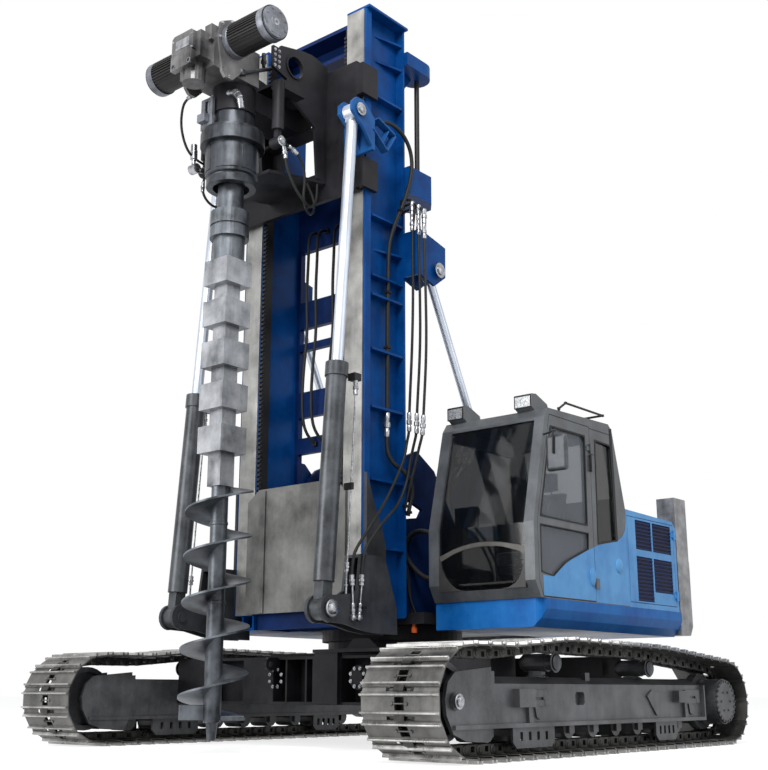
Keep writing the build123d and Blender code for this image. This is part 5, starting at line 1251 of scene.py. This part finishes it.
# %% Pins and idler axles
PIN_ENDS = [("feed_pins", 1970, 1012, 1135, 72, 50, "mast", "chrome"),
            ("rod_pins", 1650, 1010, 5650, 62, 42, "carriage", "chrome"),
            ("stay_pins", 524, 1035, 4394, 74, 50, "mast", "chrome"),
            ("clamp_pins", 2190, 534, 5277, 50, 34, "carriage", "chrome"),
            ("idler_axles", 2097, 2355, 425, 54, 40, "chassis", "frame_grey")]
for name, x, y, z, washer, nut, body, slot in PIN_ENDS:
    line = [(0, washer), (6, washer), (8, washer - 4), (8, nut), (20, nut), (26, nut * 0.8), (30, nut * 0.45),
            (31, 2)]
    piece(name, [(turned, (x, side * y, z), (x, side * (y + 100), z), line, 32) for side, word in SIDES],
          "silver", body, smooth=35)
print("pin ends:", 2 * len(PIN_ENDS))

# %% [markdown]
# ## Plates on the track frames
# Beside each step the frame carries a slotted plate with a tab, and further back a small folded
# bracket.

# %% Slotted plates, tabs and brackets
FRAME_FACE_Y, PLATE_T = 2299, 16
outlines = [[(-745, 456), (-844, 508), (-1017, 492), (-1017, 400), (-951, 287), (-911, 287)]]
for front, rear in ((1124, 852), (-1489, -1785)):
    slot_end, tab = rear + 90, front - 60
    outlines += [
        [(front, 450), (front, 508), (rear, 508), (rear, 388), (slot_end - 20, 388), (slot_end - 20, 432),
         (slot_end, 432), (slot_end, 450)],
        [(front, 384), (front, 430), (rear + 76, 430), (rear + 76, 384)],
        [(tab, 386), (tab - 60, 386), (tab - 118, 330), (tab - 60, 284), (tab - 22, 300)]]
piece("frame_plates", [(plate, outline, side * FRAME_FACE_Y, side * (FRAME_FACE_Y + PLATE_T))
                       for side, word in SIDES for outline in outlines],
      "frame_grey", "chassis", bevel=2)
CARRIER_ENDS = [(697, 718.7), (-863, 695.7)]
CARRIER_CAP = [(0, 76), (4, 80), (10, 80), (14, 66), (26, 64), (30, 58), (31, 2)]
piece("carrier_caps", [(turned, (x, side * 2272, z), (x, side * 2400, z), CARRIER_CAP, 36)
                       for side, word in SIDES for x, z in CARRIER_ENDS],
      "cylinder_grey", "chassis", smooth=35)
print("frame plates on both sides")

# %% [markdown]
# ## Ribs of the rod brackets
# The lobes that hold the feed rods' pins carry a welded frame of flat bars. The mast's head holds
# a thin upright rod.

# %% Welded frames on the lobes, and the head's rod


def bar(bm, a, b, half, y0, y1):
    """A flat bar between two points in X, Z, of a half width across."""
    way = (Vector(b) - Vector(a)).normalized() * half
    side = Vector((-way.y, way.x))
    foot, head = Vector(a) - way, Vector(b) + way
    plate(bm, [foot + side, head + side, head - side, foot - side], y0, y1)


LOBE_Y, BAR_HALF = 925, 8
FRAME_CORNERS = [(1389, 5661), (1143, 5577), (1267, 5379), (1459, 5527)]
frames = [(bar, a, b, BAR_HALF, side * LOBE_Y, side * (LOBE_Y + 81))
          for side, word in SIDES for a, b in zip(FRAME_CORNERS, FRAME_CORNERS[1:])]
frames += [(bar, (1228, 5608), (1330, 5428), 6, side * LOBE_Y, side * (LOBE_Y + 71)) for side, word in SIDES]
piece("lobe_frames", frames, "bracket_blue", "carriage", bevel=2)
piece("head_rod", [(rod, (430, 690, 5455), (430, 690, 6555), 26, 24)], "black_steel", "mast",
      smooth=35)
print("lobe frames of", len(FRAME_CORNERS) - 1, "bars")

# %% [markdown]
# An orange marker stands on the deck beside the mast's foot.

# %% Marker
MARKER = [(0, 26), (40, 26), (44, 20), (118, 18), (124, 12), (125, 2)]
piece("marker", [(turned, (600, 755, 1000), (600, 755, 1200), MARKER, 20)], "marker_orange", "house",
      smooth=35)

# %% [markdown]
# ## The seat
# Cushions are foam in cloth and bulge between their seams. Each starts as a smaller block, is
# remeshed evenly and is blown up by the cloth solver with a little pressure and no gravity. The
# sewn channels are pressed in afterwards, because remeshing would close them.

# %% Cushions
SEAT_Y, SEAT_FLOOR = 1542.5, 1295.3
VOXEL, PRESSURE, CLOTH_FRAMES = 0.010, 4, 20
CHANNEL_DEPTH, CHANNEL_HALF = 0.007, 0.009


def settle(obj):
    """Keeps what an object's modifiers make of it."""
    grown = obj.evaluated_get(bpy.context.evaluated_depsgraph_get())
    even = bpy.data.meshes.new_from_object(grown)
    obj.modifiers.clear()
    obj.data = even


def stuffed(name, shapes, cap, axis, channels):
    """A block blown up to a cushion by at most cap; channels are places along an axis."""
    obj = shown(name, mesh_of(name, shapes))
    remesh = obj.modifiers.new("even", "REMESH")
    remesh.mode, remesh.voxel_size = "VOXEL", VOXEL
    settle(obj)
    rest = [vert.co.copy() for vert in obj.data.vertices]
    cloth = obj.modifiers.new("stuffing", "CLOTH").settings
    cloth.use_pressure, cloth.uniform_pressure_force = True, PRESSURE
    cloth.effector_weights.gravity = 0
    for step in range(1, CLOTH_FRAMES + 1):
        scene.frame_set(step)
    settle(obj)
    scene.frame_set(1)
    for vert, home in zip(obj.data.vertices, rest):
        move = vert.co - home
        if move.length > cap / 1000:
            vert.co = home + move.normalized() * cap / 1000
        for place in channels:
            gap = (vert.co[axis] - place) / CHANNEL_HALF
            vert.co -= vert.normal * CHANNEL_DEPTH * math.exp(-gap * gap)
    soften = obj.modifiers.new("soft", "SUBSURF")
    soften.levels = soften.render_levels = 1
    obj.data.materials.clear()
    obj.data.materials.append(paints["seat_cloth"])
    obj.data.shade_smooth()
    carried(obj, "house")
    print(name, len(obj.data.vertices), "points")
    return obj


def seat_block(x0, x1, half_y, z0, z1):
    """A block in the seat's middle, heights above the cab's floor."""
    return (block, (x0, SEAT_Y - half_y, SEAT_FLOOR + z0), (x1, SEAT_Y + half_y, SEAT_FLOOR + z1))


cushion = stuffed("seat_cushion", [seat_block(-370, 118, 238, 300, 408)], 16, 0,
                  [at(x, 0, 0)[0] for x in (-230, -60)])
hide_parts("seat")
BACK = [(-380, SEAT_FLOOR + 432), (-285, SEAT_FLOOR + 432), (-372, SEAT_FLOOR + 998), (-452, SEAT_FLOOR + 998)]
stuffed("seat_back", [(plate, BACK, SEAT_Y - 224, SEAT_Y + 224)], 14, 2,
        [(SEAT_FLOOR + z) / 1000 for z in (600, 780)])
stuffed("seat_head_rest", [seat_block(-456, -384, 122, 1024, 1186)], 12, 0, [])
stand = [seat_block(-320, 40, 170, 2, 60), seat_block(-280, 0, 120, 60, 230),
         seat_block(-350, 90, 200, 230, 296)]
stand += [(rod, (-418, y, SEAT_FLOOR + 980), (-418, y, SEAT_FLOOR + 1040), 8)
          for y in (SEAT_Y - 60, SEAT_Y + 60)]
piece("seat_stand", stand, "black_steel", "house", bevel=6)
